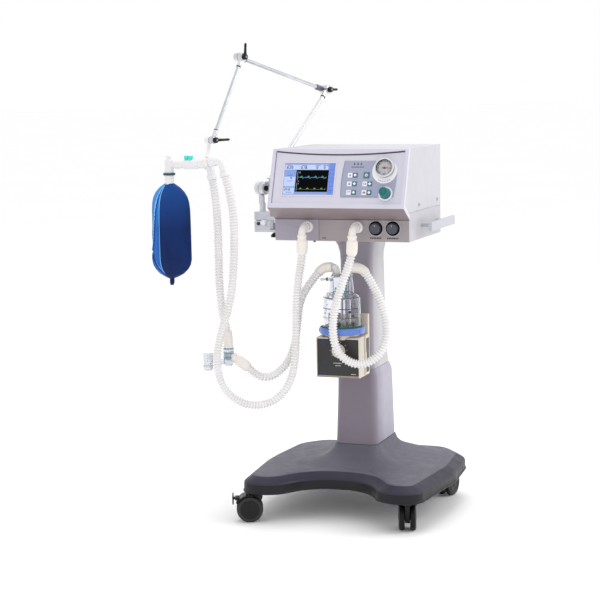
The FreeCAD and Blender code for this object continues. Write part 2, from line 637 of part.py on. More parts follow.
def make_arm():
    save("arm_lower", arm_tube("shoulder", "elbow", 1, 6.0, 19.0, 13.0))
    save("arm_middle", arm_tube("elbow", "top", -1, 6.0, 13.0, 12.0))
    save("arm_upper", arm_tube("top", "wrist", 1, 5.0, 12.0, 10.0))
    save("elbow_lever", lever("elbow", HEADING, 30.0))
    save("top_lever", lever("top", UP, 40.0))
    save("wrist_lever", lever("wrist", HEADING, 55.0))


def lever(joint, direction, length):
    """Clamping lever: a hub with its stud through both halves of the hinge, and a handle."""
    hub = Part.makeCylinder(8.5, 10, arm_point(joint, KNUCKLE_W + GAP), ACROSS)
    stud = Part.makeCylinder(BOLT_R, 2 * KNUCKLE_W + GAP, arm_point(joint, -KNUCKLE_W), ACROSS)
    handle = Part.makeCone(4.5, 3.0, length, arm_point(joint, KNUCKLE_W + 5.5), direction)
    return union([hub, stud, handle])


def make_arm_clamp():
    """Block with a hooked jaw on the left rail, the stem and the fixed half of the shoulder."""
    rail_out, rail_in = -RAIL_X - RAIL_THICK / 2, -RAIL_X + RAIL_THICK / 2
    y0, y1 = ARM_Y - 20, ARM_Y + 20
    top, bottom = RAIL_Z + RAIL_TALL / 2, RAIL_Z - RAIL_TALL / 2
    block = box(-294, rail_out - 0.2, y0, y1, bottom - 10, 873)
    upper = box(rail_out - 1, rail_in + 7, y0, y1, top + 0.2, top + 10)
    lip = box(rail_in + 0.3, rail_in + 7, y0, y1, top - 8, top + 1)
    lower = box(rail_out - 1, rail_in + 5, y0, y1, bottom - 10, bottom - 2.5)
    stem = rod(6.5, (ARM_X, ARM_Y, 870), (ARM_X, ARM_Y, 930)).cut(
        Part.makeCylinder(21, 40, arm_point("shoulder", 0), ACROSS))
    neck = Part.makeCylinder(5.5, 46, arm_point("shoulder", -KNUCKLE_W / 2) - V(0, 0, 46), UP)
    foot = rod(9.0, (ARM_X, ARM_Y, 872), (ARM_X, ARM_Y, 898))
    slit = box(-300, -262, y0 - 1, y0 + 12, 846, 849)
    body = union([block, upper, lip, lower, foot, stem, neck, knuckle("shoulder", -1, 19.0)])
    screw_hole = disc(BOLT_R + FIT, -RAIL_X, ARM_Y, 800, bottom)
    return body.cut([bolt_hole("shoulder"), screw_hole, slit])


def make_clamp_knob():
    """Thumb screw under the rail clamp."""
    grip = knob(10.0, 12, 0, 0, 6).translated(V(-RAIL_X, ARM_Y, 797))
    screw = disc(BOLT_R, -RAIL_X, ARM_Y, 800, RAIL_Z - RAIL_TALL / 2)
    return union([grip, screw])


def make_hose_clip():
    """The last half hinge, its stub and the ring that grips the expiratory limb."""
    top = arm_point("wrist", -KNUCKLE_W / 2)
    bend = top - V(0, 0, 24)
    start, end = V(*LIMB_FRONT[0]), V(*LIMB_FRONT[1])
    along = (end - start).normalize()
    grip = start + along * 46
    stub = [rod(5.0, top, bend), rod(5.0, bend, grip + V(0, 0, 13)), Part.makeSphere(5.0, bend)]
    ring = Part.makeCylinder(13.0, 14, grip - along * 7, along)
    bore = Part.makeCylinder(TUBE_R + 0.2, 20, grip - along * 10, along)
    mouth = box(grip.x - 10, grip.x + 10, grip.y - 8, grip.y + 8, grip.z - 20, grip.z - 6)
    return union(stub + [ring, knuckle("wrist", -1, 10.0)]).cut([bore, mouth, bolt_hole("wrist")])


# ---- breathing circuit -------------------------------------------------------------------
def make_y_piece():
    """Swivel elbow for the test lung, adapter tube and the two limbs of the Y."""
    z = 1021.0
    riser = disc(12.5, LUNG_X, LUNG_Y, 996, 1038)
    cap = disc(7.0, LUNG_X, LUNG_Y, 1037, 1047)
    main = rod(TUBE_R, (LUNG_X, LUNG_Y, z), (-395, LUNG_Y, z))
    flare = rod(14.0, (-450, LUNG_Y, z), (-436, LUNG_Y, z))
    hub = rod(15.0, (-424, LUNG_Y, z), (-390, LUNG_Y, z))
    ports = [disc(4.0, x, LUNG_Y, 1034, 1046) for x in (-418, -403)]
    return union([riser, cap, main, flare, hub, tube(LIMB_REAR, TUBE_R), tube(LIMB_FRONT, TUBE_R)] + ports)


def make_water_trap():
    """Clear drain body in the inspiratory limb, with its cup to one side."""
    body = disc(15.0, -314, -213, 443, 500)
    neck = disc(TUBE_R, -314, -213, 498, 508)
    outlet = rod(TUBE_R, (-314, -213, 478), (-290, -209, 462))
    bridge = rod(8.0, (-314, -213, 455), (-366, -213, 452))
    cup = Part.makeCone(13.0, 15.0, 50, V(-378, -213, 427), UP)
    return union([body, neck, outlet, bridge, cup])


def ellipse(z, x, half_x, half_y):
    return Part.Wire(Part.Ellipse(V(x, LUNG_Y, z), half_x, half_y).toShape())


def make_test_lung():
    """Thin rubber bag hanging from its neck, with a short tail."""
    sections = [(996, 0, 13.2, 13), (974, 0, 14.2, 14), (966, 0, 30, 22), (952, 1, 52, 29),
                (925, 1, 62, 33), (870, 1, 66, 36), (800, 1, 64, 36), (745, 1, 58, 34),
                (715, 0, 45, 28), (699, 0, 24, 16), (690, -2, 9.2, 9), (678, -2, 8.2, 8)]
    bag = loft([ellipse(z, LUNG_X + dx, a, b) for z, dx, a, b in sections])
    wall = 2.5
    inside = sections[1:-1]
    hollow = loft([ellipse(z, LUNG_X + dx, a - wall, b - wall - 0.2) for z, dx, a, b in inside])
    return bag.cut(hollow)


# ---- humidifier --------------------------------------------------------------------------
def make_humidifier_case():
    """Heater housing with a raised back, hung on the column by its slide block."""
    x0, x1 = HUM_X - HUM_HALF, HUM_X + HUM_HALF
    body = box(x0, x1, HUM_FRONT, HUM_BACK, HUM_Z, HUM_TOP)
    soles = [e for e in body.Edges if e.BoundBox.YLength < 0.1 and e.BoundBox.ZMax < HUM_Z + 1]
    body = body.makeFillet(8.0, soles)
    back = box(x0 + 4, x1, HUM_BACK - 14, HUM_BACK, HUM_TOP - 1, 584)
    boss = box(HUM_X - 30, HUM_X + 30, HUM_BACK, 0, 440, 560)
    cheek = box(x1, x1 + 4, HUM_BACK - 50, HUM_BACK - 44, HUM_Z + 4, HUM_TOP)
    foot = box(x1 - 2, x1 + 2, HUM_BACK - 20, HUM_BACK - 8, HUM_Z + 20, HUM_Z + 28)
    well = disc(POT_R - 1, HUM_X, POT_Y, HUM_TOP - 6, HUM_TOP + 1)
    room = disc(POT_R + 6, HUM_X, POT_Y, HUM_TOP, 600)
    shaft = rod(BOLT_R + FIT, (HUM_X + 4, HUM_FRONT - 1, 489), (HUM_X + 4, HUM_FRONT + 16, 489))
    return union([body, back.cut(room), boss.cut(room), cheek, foot]).cut([well, shaft])


def make_humidifier_dial():
    grip = knob(20.0, 13, 0, 0, 12)
    shaft = Part.makeCylinder(BOLT_R, 14, V(0, 0, -13.5), UP)
    dial = union([grip, shaft])
    dial.rotate(V(0, 0, 0), V(1, 0, 0), 90)
    return dial.translated(V(HUM_X + 4, HUM_FRONT - 1.5, 489))


def make_heater_plate():
    return disc(POT_R - 2, HUM_X, POT_Y, HUM_TOP - 6, POT_Z)


def make_guard_ring():
    """Spring-loaded blue guard round the front of the chamber base."""
    outer, inner = 65.0, 60.5
    ring = disc(outer, HUM_X, POT_Y, 534, 553).cut(disc(inner, HUM_X, POT_Y, 530, 560))
    return ring.cut(box(HUM_X - 70, HUM_X + 70, POT_Y + 20, POT_Y + 80, 530, 560))


def make_water_chamber():
    """Metal base, gasket ring, clear dome, tower with two ports and their elbows, feed spigot."""
    base = disc(POT_R - 1, HUM_X, POT_Y, POT_Z, 549)
    gasket = disc(POT_R + 3.5, HUM_X, POT_Y, 549, DOME_Z)
    dome = disc(POT_R, HUM_X, POT_Y, DOME_Z, DOME_TOP)
    crown = [e for e in dome.Edges if e.BoundBox.ZMin > DOME_TOP - 1]
    room = disc(POT_R - 2.5, HUM_X, POT_Y, DOME_Z + 2, DOME_TOP - 12)
    dome = dome.makeFillet(8.0, crown).cut(room)
    tower = Part.makeCone(36, 31, TOWER_TOP - DOME_TOP + 8, V(HUM_X, POT_Y, DOME_TOP - 8), UP)
    elbows = []
    for x, side in zip(POT_PORTS, (-1, 1)):
        route = [(x, POT_Y, TOWER_TOP - 5), (x, POT_Y, POT_PORT_Z), (x + side * 18, POT_Y, POT_PORT_Z)]
        elbows.append(elbow(route, TUBE_R, 14))
    feed = rod(4.0, (HUM_X - 30, POT_Y, 688), (HUM_X - 62, POT_Y, 686))
    return union([base, gasket, dome, tower, feed] + elbows)


# ---- the whole part ----------------------------------------------------------------------
def build():
    singles = {
        "base_cover": make_base_cover, "base_frame": make_base_frame, "column_post": make_column_post,
        "column_lower_cover": make_column_lower_cover, "column_upper_cover": make_column_upper_cover,
        "lower_case": make_lower_case, "expiratory_cover": make_expiratory_cover,
        "upper_case": make_upper_case, "front_bezel": make_front_bezel, "rear_panel": make_rear_panel,
        "display_window": make_display_window, "keypad_panel": make_keypad_panel,
        "power_inlet": make_power_inlet, "gas_inlets": make_gas_inlets, "main_board": make_main_board,
        "gas_mixer": make_gas_mixer, "port_elbows": make_port_elbows, "side_rails": make_side_rails,
        "arm_clamp": make_arm_clamp, "clamp_knob": make_clamp_knob, "hose_clip": make_hose_clip,
        "y_piece": make_y_piece, "water_trap": make_water_trap, "test_lung": make_test_lung,
        "humidifier_case": make_humidifier_case, "humidifier_dial": make_humidifier_dial,
        "heater_plate": make_heater_plate, "guard_ring": make_guard_ring,
        "water_chamber": make_water_chamber,
    }
    for name, maker in singles.items():
        save(name, maker())
    make_castors()
    make_keys()
    make_gauge()
    make_pressure_knob()
    make_case_knobs()
    make_arm()
    for name, route in HOSES.items():
        save(name, tube(route, HOSE_D / 2, name))


build()
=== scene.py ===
"""Looks for the trolley ventilator: camera, light, finishes and the pieces that CAD leaves plain.

Metres, in the part's own frame: X right along the front, -Y out of the front, +Z up.
"""

import json
import math

import bmesh
import bpy
from mathutils import Matrix, Vector

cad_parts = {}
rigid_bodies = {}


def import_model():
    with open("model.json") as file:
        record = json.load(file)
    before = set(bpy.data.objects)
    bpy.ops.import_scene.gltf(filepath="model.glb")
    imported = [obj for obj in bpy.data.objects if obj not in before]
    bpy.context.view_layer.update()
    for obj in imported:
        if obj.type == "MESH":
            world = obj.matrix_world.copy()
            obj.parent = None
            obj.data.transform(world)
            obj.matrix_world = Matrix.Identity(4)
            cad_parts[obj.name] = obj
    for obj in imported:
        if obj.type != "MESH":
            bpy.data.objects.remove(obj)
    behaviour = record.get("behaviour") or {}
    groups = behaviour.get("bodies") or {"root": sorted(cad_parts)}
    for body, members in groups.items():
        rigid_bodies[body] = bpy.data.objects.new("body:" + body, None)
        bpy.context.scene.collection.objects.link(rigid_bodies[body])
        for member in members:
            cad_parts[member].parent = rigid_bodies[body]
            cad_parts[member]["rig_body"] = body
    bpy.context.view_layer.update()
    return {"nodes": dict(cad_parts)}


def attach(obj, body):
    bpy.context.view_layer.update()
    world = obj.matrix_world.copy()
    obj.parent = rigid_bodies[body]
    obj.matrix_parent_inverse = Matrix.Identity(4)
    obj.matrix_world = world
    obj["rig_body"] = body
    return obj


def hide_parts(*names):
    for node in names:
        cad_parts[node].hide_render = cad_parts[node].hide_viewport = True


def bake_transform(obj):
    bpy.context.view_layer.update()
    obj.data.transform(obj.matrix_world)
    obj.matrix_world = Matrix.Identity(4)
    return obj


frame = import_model()

MM = 0.001
UP = Vector((0, 0, 1))
FORWARD = Vector((0, -1, 0))
HOSE_PITCH = 0.0082
HOSE_CREST, HOSE_VALLEY = 0.0132, 0.0097
HOSE_AROUND = 22
PANEL_ORIGIN = Vector((0, -0.1764, 0.896))
PANEL_TILT = math.radians(70.28)
HEADING = Vector((math.sin(math.radians(20.5)), math.cos(math.radians(20.5)), 0))
ACROSS = Vector((HEADING.y, -HEADING.x, 0))


def vec(x, y, z):
    """A point given in millimetres."""
    return Vector((x, y, z)) * MM


def polar(degrees):
    """The level unit vector at an angle from +X."""
    angle = math.radians(degrees)
    return Vector((math.cos(angle), math.sin(angle), 0))


# ---- finishes ----------------------------------------------------------------------------
def rgb(r, g, b):
    """Display values 0-255 as the linear colour a shader takes."""
    out = []
    for value in (r, g, b):
        c = value / 255
        out.append(c / 12.92 if c < 0.04045 else ((c + 0.055) / 1.055) ** 2.4)
    return tuple(out) + (1.0,)


def tinted(color, factor):
    """Display values as a linear colour, made darker or lighter by a factor."""
    return tuple(min(1.0, c * factor) for c in rgb(*color)[:3]) + (1.0,)


class Graph:
    """A material's node tree, with short calls to add and join nodes."""

    def __init__(self, name):
        self.material = bpy.data.materials.new(name)
        self.material.use_nodes = True
        self.tree = self.material.node_tree
        self.shader = self.tree.nodes["Principled BSDF"]
        self.coord = self.tree.nodes.new("ShaderNodeTexCoord").outputs["Object"]

    def add(self, kind, **inputs):
        node = self.tree.nodes.new("ShaderNode" + kind)
        for key, value in inputs.items():
            self.put(node.inputs[key.replace("_", " ")], value)
        return node

    def put(self, socket, value):
        if isinstance(value, bpy.types.NodeSocket):
            self.tree.links.new(value, socket)
        else:
            socket.default_value = value

    def noise(self, scale, detail=3.0, stretch=None, roughness=0.55):
        vector = self.coord
        if stretch:
            vector = self.add("Mapping", Vector=vector, Scale=stretch).outputs[0]
        node = self.add("TexNoise", Vector=vector, Scale=scale, Detail=detail, Roughness=roughness)
        return node.outputs["Fac"]

    def span(self, value, low, high, start=0.3, end=0.7):
        """Map a 0-1 pattern onto the range low..high."""
        node = self.add("MapRange", Value=value)
        for key, number in (("From Min", start), ("From Max", end), ("To Min", low), ("To Max", high)):
            node.inputs[key].default_value = number
        return node.outputs[0]

    def blend(self, factor, first, second):
        node = self.tree.nodes.new("ShaderNodeMix")
        node.data_type = "RGBA"
        self.put(node.inputs[0], factor)
        self.put(node.inputs[6], first)
        self.put(node.inputs[7], second)
        return node.outputs[2]

    def bump(self, height, strength, distance=0.0005, normal=None):
        node = self.add("Bump", Height=height, Strength=strength, Distance=distance)
        if normal is not None:
            self.put(node.inputs["Normal"], normal)
        return node.outputs[0]

    def finish(self, **sockets):
        for key, value in sockets.items():
            self.put(self.shader.inputs[key.replace("_", " ")], value)
        return self.material


def coated(name, color, rough, spread, grain, depth, dust=None, **sockets):
    """Moulded or painted finish: cloudy tint, uneven gloss, fine grain, and dust gathered in patches."""
    g = Graph(name)
    clouds = g.noise(9.0, 5.0)
    fine = g.noise(grain, 2.0)
    shade = g.blend(g.span(clouds, 0.0, 1.0), tinted(color, 1 - spread), tinted(color, 1 + spread))
    if dust:
        patches = g.span(g.noise(26.0, 6.0, roughness=0.7), 0.0, 0.35, 0.5, 0.8)
        shade = g.blend(patches, shade, rgb(*dust))
    speck = g.span(fine, -0.5, 0.5)
    shade = g.blend(g.span(speck, 0.0, spread, -0.5, 0.5), shade, tinted(color, 0.8))
    gloss = g.span(g.noise(34.0, 4.0), rough * 0.85, min(1.0, rough * 1.2))
    soft = g.bump(clouds, 0.02, 0.001)
    normal = g.bump(fine, depth, 0.00025, soft)
    return g.finish(Base_Color=shade, Roughness=gloss, Normal=normal, **sockets)


def front_shaded(name, color, front, rough):
    """Moulded cover with painted shade: its forward side is coloured a deeper shade than its flanks,
    standing in for the shadow over the column's front, with a soft change between.
    """
    g = Graph(name)
    clouds = g.noise(9.0, 4.0)
    fine = g.noise(900, 2.0)
    normal = g.tree.nodes.new("ShaderNodeNewGeometry").outputs["Normal"]
    # painted shade: faces turned forward and lying near the front take the darker front colour
    facing = g.span(g.add("SeparateXYZ", Vector=normal).outputs["Y"], 0, 1, -0.92, -0.05)
    depth = g.span(g.add("SeparateXYZ", Vector=g.coord).outputs["Y"], 0.35, 1, 0.01, 0.075)
    side = g.tree.nodes.new("ShaderNodeMath")
    side.operation = "MULTIPLY"
    g.put(side.inputs[0], facing)
    g.put(side.inputs[1], depth)
    low = g.blend(g.span(clouds, 0, 1), tinted(front, 0.97), tinted(front, 1.04))
    high = g.blend(g.span(clouds, 0, 1), tinted(color, 0.98), tinted(color, 1.03))
    shade = g.blend(side.outputs[0], low, high)
    gloss = g.span(g.noise(34.0, 4.0), rough * 0.85, rough * 1.2)
    return g.finish(Base_Color=shade, Roughness=gloss, Normal=g.bump(fine, 0.2, 0.00025))


def metal(name, color, rough):
    """Brushed or drawn metal with fine lines along it."""
    g = Graph(name)
    lines = g.noise(400.0, 3.0, (1, 1, 30))
    clouds = g.noise(40.0, 3.0)
    shade = g.blend(g.span(clouds, 0, 1), tinted(color, 0.9), tinted(color, 1.05))
    gloss = g.span(lines, rough * 0.7, rough * 1.35)
    normal = g.bump(lines, 0.08, 0.0001)
    return g.finish(Base_Color=shade, Roughness=gloss, Metallic=1.0, Normal=normal)


def clear(name, color, rough, transmission):
    """Clear or milky moulded plastic with faint flow marks."""
    g = Graph(name)
    flow = g.noise(55.0, 3.0, (1, 1, 0.3))
    shade = g.blend(g.span(flow, 0, 1), tinted(color, 0.95), tinted(color, 1.03))
    gloss = g.span(g.noise(120.0, 2.0), rough * 0.7, rough * 1.5)
    normal = g.bump(flow, 0.05, 0.0006)
    return g.finish(Base_Color=shade, Roughness=gloss, Normal=normal, IOR=1.45,
                    Transmission_Weight=transmission)


def glowing(name, color, strength, spread=0.06, cells=None, **sockets):
    """A lit part of the display: faint pixel grid and slow brightness changes."""
    g = Graph(name)
    clouds = g.noise(30.0, 2.0)
    shade = g.blend(g.span(clouds, 0, 1), tinted(color, 1 - spread), tinted(color, 1 + spread))
    if cells:
        pixels = g.add("TexChecker", Vector=g.coord, Scale=cells)
        shade = g.blend(pixels.outputs["Fac"], shade, tinted(color, 0.8))
    gloss = g.span(g.noise(200.0), 0.12, 0.2)
    return g.finish(Base_Color=shade, Roughness=gloss, Emission_Color=shade, Emission_Strength=strength,
                    **sockets)


def hose_finish(name, dark, light):
    """Milky corrugated hose with faint ageing along its length."""
    g = Graph(name)
    clouds = g.noise(14.0, 4.0)
    shade = g.blend(g.span(clouds, 0, 1), rgb(*dark), rgb(*light))
    fine = g.noise(900.0, 2.0)
    gloss = g.span(g.noise(60.0, 3.0), 0.35, 0.55)
    normal = g.bump(fine, 0.06, 0.0002)
    return g.finish(Base_Color=shade, Roughness=gloss, Normal=normal)


def bag_finish(name, dark, light, top):
    """Thin blue rubber: soft gloss, painted light making it paler towards the neck, fine grain and small
    creases.
    """
    g = Graph(name)
    clouds = g.noise(16.0, 4.0, (1, 1, 0.35))
    # painted light: the colour turns to the paler top colour near the neck, where the shoulders face the
    # light
    height = g.span(g.add("SeparateXYZ", Vector=g.coord).outputs["Z"], 0, 1, 0.84, 0.97)
    low = g.blend(g.span(clouds, 0, 1), rgb(*dark), rgb(*light))
    shade = g.blend(height, low, rgb(*top))
    fine = g.noise(1100.0, 2.0)
    creases = g.noise(60.0, 4.0, (1, 1, 0.22))
    gloss = g.span(clouds, 0.34, 0.5)
    normal = g.bump(fine, 0.06, 0.0002, g.bump(creases, 0.15, 0.0012))
    return g.finish(Base_Color=shade, Roughness=gloss, Normal=normal, Specular_IOR_Level=0.15)


SPECULAR = "Specular_IOR_Level"
FINISH_ROWS = [
    (coated, {
        "roof": ("roof_paint", (191, 190, 196), 0.5, 0.02, 1600, 0.15),
        "bezel": ("bezel_paint", (208, 206, 220), 0.42, 0.02, 1500, 0.15),
        # painted shade: a darker copy of the bezel colour for its downward faces, which get little light
        # from below
        "chin_shade": ("chin_paint", (140, 127, 130), 0.45, 0.03, 1500, 0.15),
        "tray": ("tray_paint", (186, 184, 190), 0.42, 0.03, 1500, 0.15),
        # partly the tray front's own beige-grey tone, partly painted shade from the bezel's overhang
        "tray_front_shade": ("tray_front_paint", (158, 150, 153), 0.42, 0.03, 1500, 0.15),
        "module": ("module_paint", (164, 157, 170), 0.42, 0.03, 1500, 0.15),
        "base": ("base_abs", (95, 93, 105), 0.5, 0.02, 900, 0.2, {SPECULAR: 0.3}),
        # painted shade: darker copies of the base colour for the bevel and, darkest, for the upright rim,
        # which face away from the light
        "base_bevel_shade": ("base_bevel_abs", (52, 50, 64), 0.42, 0.04, 900, 0.2, {SPECULAR: 0.2}),
        "base_rim_shade": ("base_rim_abs", (22, 22, 26), 0.45, 0.06, 700, 0.3, {SPECULAR: 0.3}),
        "rail": ("rail_anodised", (188, 189, 198), 0.35, 0.04, 1200, 0.1, {"Metallic": 0.2}),
        "black": ("black_nylon", (11, 11, 13), 0.42, 0.12, 900, 0.25, {SPECULAR: 0.3}),
        "tyre": ("tyre_rubber", (9, 9, 10), 0.55, 0.15, 500, 0.3, (24, 23, 22), {SPECULAR: 0.25}),
        # painted highlight: a lighter rubber for the outer shoulders, standing in for the light they catch
        "tyre_side_highlight": ("tyre_side_rubber", (44, 42, 42), 0.5, 0.12, 500, 0.3, {SPECULAR: 0.4}),
        "castor": ("castor_nylon", (9, 9, 10), 0.4, 0.12, 700, 0.2, (20, 20, 19), {SPECULAR: 0.3}),
        "key": ("key_teal", (58, 112, 122), 0.4, 0.06, 1800, 0.15),
        "keypad": ("keypad_film", (158, 162, 186), 0.38, 0.03, 1800, 0.12),
        "ink": ("printed_ink", (38, 36, 42), 0.5, 0.15, 2500, 0.1),
        "ink_soft": ("faded_ink", (105, 108, 125), 0.5, 0.1, 2500, 0.1),
        "ink_blue": ("blue_ink", (40, 50, 120), 0.5, 0.1, 2500, 0.1),
        "ink_white": ("white_ink", (206, 206, 202), 0.5, 0.06, 2500, 0.1),
        "white": ("white_plastic", (238, 238, 242), 0.28, 0.02, 1500, 0.08, {"Coat_Weight": 0.4}),
        "grey_knob": ("grey_knob", (72, 71, 84), 0.42, 0.06, 1100, 0.2),
        "green_knob": ("green_knob", (0, 106, 108), 0.34, 0.08, 1100, 0.12),
        "cup": ("cup_black", (6, 6, 7), 0.5, 0.1, 900, 0.2, {SPECULAR: 0.1}),
        "fitting": ("fitting_plastic", (234, 229, 228), 0.3, 0.02, 1200, 0.08),
        "cuff": ("cuff_silicone", (236, 229, 223), 0.42, 0.03, 700, 0.1),
        "limb": ("limb_plastic", (229, 228, 231), 0.25, 0.02, 900, 0.06),
        "cyan": ("cyan_cap", (66, 224, 214), 0.35, 0.05, 900, 0.1),
        "teal_ring": ("teal_ring", (12, 72, 88), 0.3, 0.08, 900, 0.1),
        "hum_case": ("humidifier_abs", (208, 198, 184), 0.42, 0.03, 900, 0.15),
        "hum_panel": ("humidifier_film", (38, 38, 39), 0.4, 0.06, 1400, 0.1),
        # painted shade: a darker copy of the case colour for its downward faces
        "hum_underside_shade": ("humidifier_lip", (158, 144, 128), 0.45, 0.03, 900, 0.15),
        "guard": ("guard_blue", (96, 126, 204), 0.32, 0.05, 900, 0.1),
        "gasket": ("gasket_green", (0, 98, 84), 0.45, 0.08, 700, 0.15),
        "teal_clip": ("teal_clip", (30, 170, 160), 0.35, 0.06, 900, 0.1),
        "red": ("needle_red", (190, 30, 50), 0.35, 0.08, 1500, 0.1),
        "screen_rim": ("screen_rim", (226, 216, 222), 0.4, 0.03, 1500, 0.1),
        "seam": ("seam_shadow", (84, 76, 84), 0.6, 0.06, 1500, 0.1, {SPECULAR: 0.2}),
        "edge": ("edge_shadow", (148, 142, 160), 0.6, 0.05, 1500, 0.1, {SPECULAR: 0.2}),
        "badge": ("badge_olive", (110, 115, 60), 0.5, 0.1, 1500, 0.1),
        "clamp": ("clamp_alloy", (212, 212, 220), 0.36, 0.04, 1000, 0.12, {"Metallic": 0.2}),
        "board": ("board_green", (20, 90, 60), 0.4, 0.1, 600, 0.2),
    }),
    # the front colour of each row is painted shade on the column's forward side
    (front_shaded, {
        "column_low": ("column_low_abs", (170, 166, 182), (126, 117, 130), 0.5),
        "column": ("column_abs", (188, 186, 189), (146, 140, 151), 0.48),
    }),
    (metal, {
        "steel": ("steel_tube", (205, 207, 212), 0.22),
        "chrome": ("chrome", (225, 226, 230), 0.1),
        "zinc": ("zinc_plate", (165, 160, 155), 0.35),
        "rim_metal": ("gauge_rim_metal", (180, 178, 186), 0.28),
        "sleeve_dark": ("sleeve_dark", (120, 118, 128), 0.3),
        "heater": ("heater_plate_metal", (190, 180, 170), 0.3),
        "brass": ("brass", (205, 170, 95), 0.3),
    }),
    (clear, {
        "glass": ("chamber_glass", (246, 247, 252), 0.04, 1.0),
        "lens": ("gauge_glass", (250, 250, 252), 0.03, 1.0),
        "trap": ("trap_glass", (232, 238, 246), 0.12, 0.7),
        "water": ("blue_tint", (150, 210, 235), 0.1, 0.6),
        "milky": ("milky_plastic", (236, 238, 244), 0.25, 0.35),
        "glass_thick": ("elbow_plastic", (238, 236, 236), 0.12, 0.45),
    }),
    (glowing, {
        "screen": ("screen_blue", (124, 148, 204), 0.3, 0.05, 700.0),
        "screen_pale": ("screen_pale", (176, 192, 228), 0.35, 0.04, 700.0),
        "screen_deep": ("screen_deep", (100, 128, 202), 0.3, 0.08, 420.0),
        "screen_black": ("screen_black", (2, 2, 3), 0.1, 0.2, {SPECULAR: 0.05}),
        "trace_green": ("trace_green", (44, 130, 32), 0.4),
        "trace_blue": ("trace_blue", (26, 80, 200), 0.5),
        "trace_white": ("trace_white", (150, 154, 168), 0.3),
        "digit": ("digit_dark", (8, 9, 24), 0.1, 0.2, {SPECULAR: 0.1}),
    }),
    (hose_finish, {
        "hose": ("hose_silicone", (231, 228, 227), (240, 239, 240)),
        # painted shade for the grooves between the ribs
        "hose_groove_shade": ("hose_valley_silicone", (218, 215, 215), (227, 225, 226)),
    }),
    (bag_finish, {
        # the last colour of each row is the painted light near the neck
        "bag": ("bag_rubber", (1, 27, 74), (8, 42, 102), (22, 72, 146)),
        # left panel: the same rubber lit, as painted light, with a painted highlight for ridges and painted
        # shade for creases
        "bag_side_lit": ("bag_side_rubber", (14, 66, 148), (38, 108, 192), (62, 144, 220)),
        "bag_ridge_highlight": ("bag_ridge_rubber", (90, 160, 230), (132, 190, 244), (120, 184, 240)),
        "bag_crease_shade": ("bag_crease_rubber", (10, 44, 112), (20, 66, 142), (24, 70, 148)),
    }),
]


def make_finishes():
    """Every finish by name; a row may end with shader sockets of its own."""
    made = {}
    for maker, rows in FINISH_ROWS:
        for key, settings in rows.items():
            sockets = settings[-1] if isinstance(settings[-1], dict) else {}
            plain = settings[:-1] if sockets else settings
            made[key] = maker(*plain, **sockets)
    return made


FINISH = make_finishes()


# ---- mesh tools --------------------------------------------------------------------------
def add_piece(name, mesh, finish, body, crease=35.0):
    """Link a finished mesh, smooth it up to the crease angle, paint it and let it ride."""
    piece = bpy.data.objects.new(name, mesh)
    bpy.context.scene.collection.objects.link(piece)
    mesh.polygons.foreach_set("use_smooth", [True] * len(mesh.polygons))
    mesh.set_sharp_from_angle(angle=math.radians(crease))
    mesh.materials.append(FINISH[finish])
    if body:
        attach(piece, body)
    return piece


def mesh_of(bm, name):
    bmesh.ops.recalc_face_normals(bm, faces=bm.faces)
    mesh = bpy.data.meshes.new(name)
    bm.to_mesh(mesh)
    bm.free()
    return mesh


def frame_along(axis):
    """Two unit vectors square to an axis."""
    axis = axis.normalized()
    side = Vector((1, 0, 0)) if abs(axis.x) < 0.8 else Vector((0, 1, 0))
    first = (side - axis * side.dot(axis)).normalized()
    return first, axis.cross(first)


def skin(bm, rings, closed=False):
    """Join rings of equal size into a surface, and cap its ends or close it on itself."""
    count = len(rings[0])
    pairs = list(zip(rings, rings[1:]))
    if closed:
        pairs.append((rings[-1], rings[0]))
    for low, high in pairs:
        for i in range(count):
            j = (i + 1) % count
            bm.faces.new((low[i], low[j], high[j], high[i]))
    if not closed:
        bm.faces.new(rings[0][::-1])
        bm.faces.new(rings[-1])


def lathe(name, start, axis, profile, finish, body, around=48, wave=None, crease=35.0, closed=False):
    """A turned piece: (distance, radius) in mm from start along axis; wave(angle, t) scales a radius."""
    bm = bmesh.new()
    axis = Vector(axis).normalized()
    first, second = frame_along(axis)
    rings = []
    for t, r in profile:
        ring = []
        for i in range(around):
            angle = 2 * math.pi * i / around
            radius = (r if closed else max(r, 0.01)) * MM * (wave(angle, t) if wave else 1.0)
            out = first * math.cos(angle) + second * math.sin(angle)
            ring.append(bm.verts.new(start + axis * t * MM + out * radius))
        rings.append(ring)
    skin(bm, rings, closed=closed)
    return add_piece(name, mesh_of(bm, name), finish, body, crease)


def lathe_ring(name, start, axis, profile, finish, body, around=48):
    """A turned ring whose section closes on itself."""
    return lathe(name, start, axis, profile, finish, body, around, closed=True)


def softened(profile, r=0.8, steps=3):
    """Round the corners of a turned profile."""
    out = [profile[0]]
    for a, b, c in zip(profile, profile[1:], profile[2:]):
        a, b, c = Vector(a), Vector(b), Vector(c)
        reach = min(r, (b - a).length * 0.45, (c - b).length * 0.45)
        p, q = b + (a - b).normalized() * reach, b + (c - b).normalized() * reach
        for i in range(steps + 1):
            t = i / steps
            out.append(tuple(p * (1 - t) ** 2 + b * 2 * t * (1 - t) + q * t ** 2))
    out.append(profile[-1])
    return out


def sweep(name, points, radius, finish, body, around=20, crease=60.0):
    """A tube through points; radius(distance) may vary along it."""
    bm = bmesh.new()
    rings = sweep_rings(bm, points, radius, around)
    skin(bm, rings)
    return add_piece(name, mesh_of(bm, name), finish, body, crease)


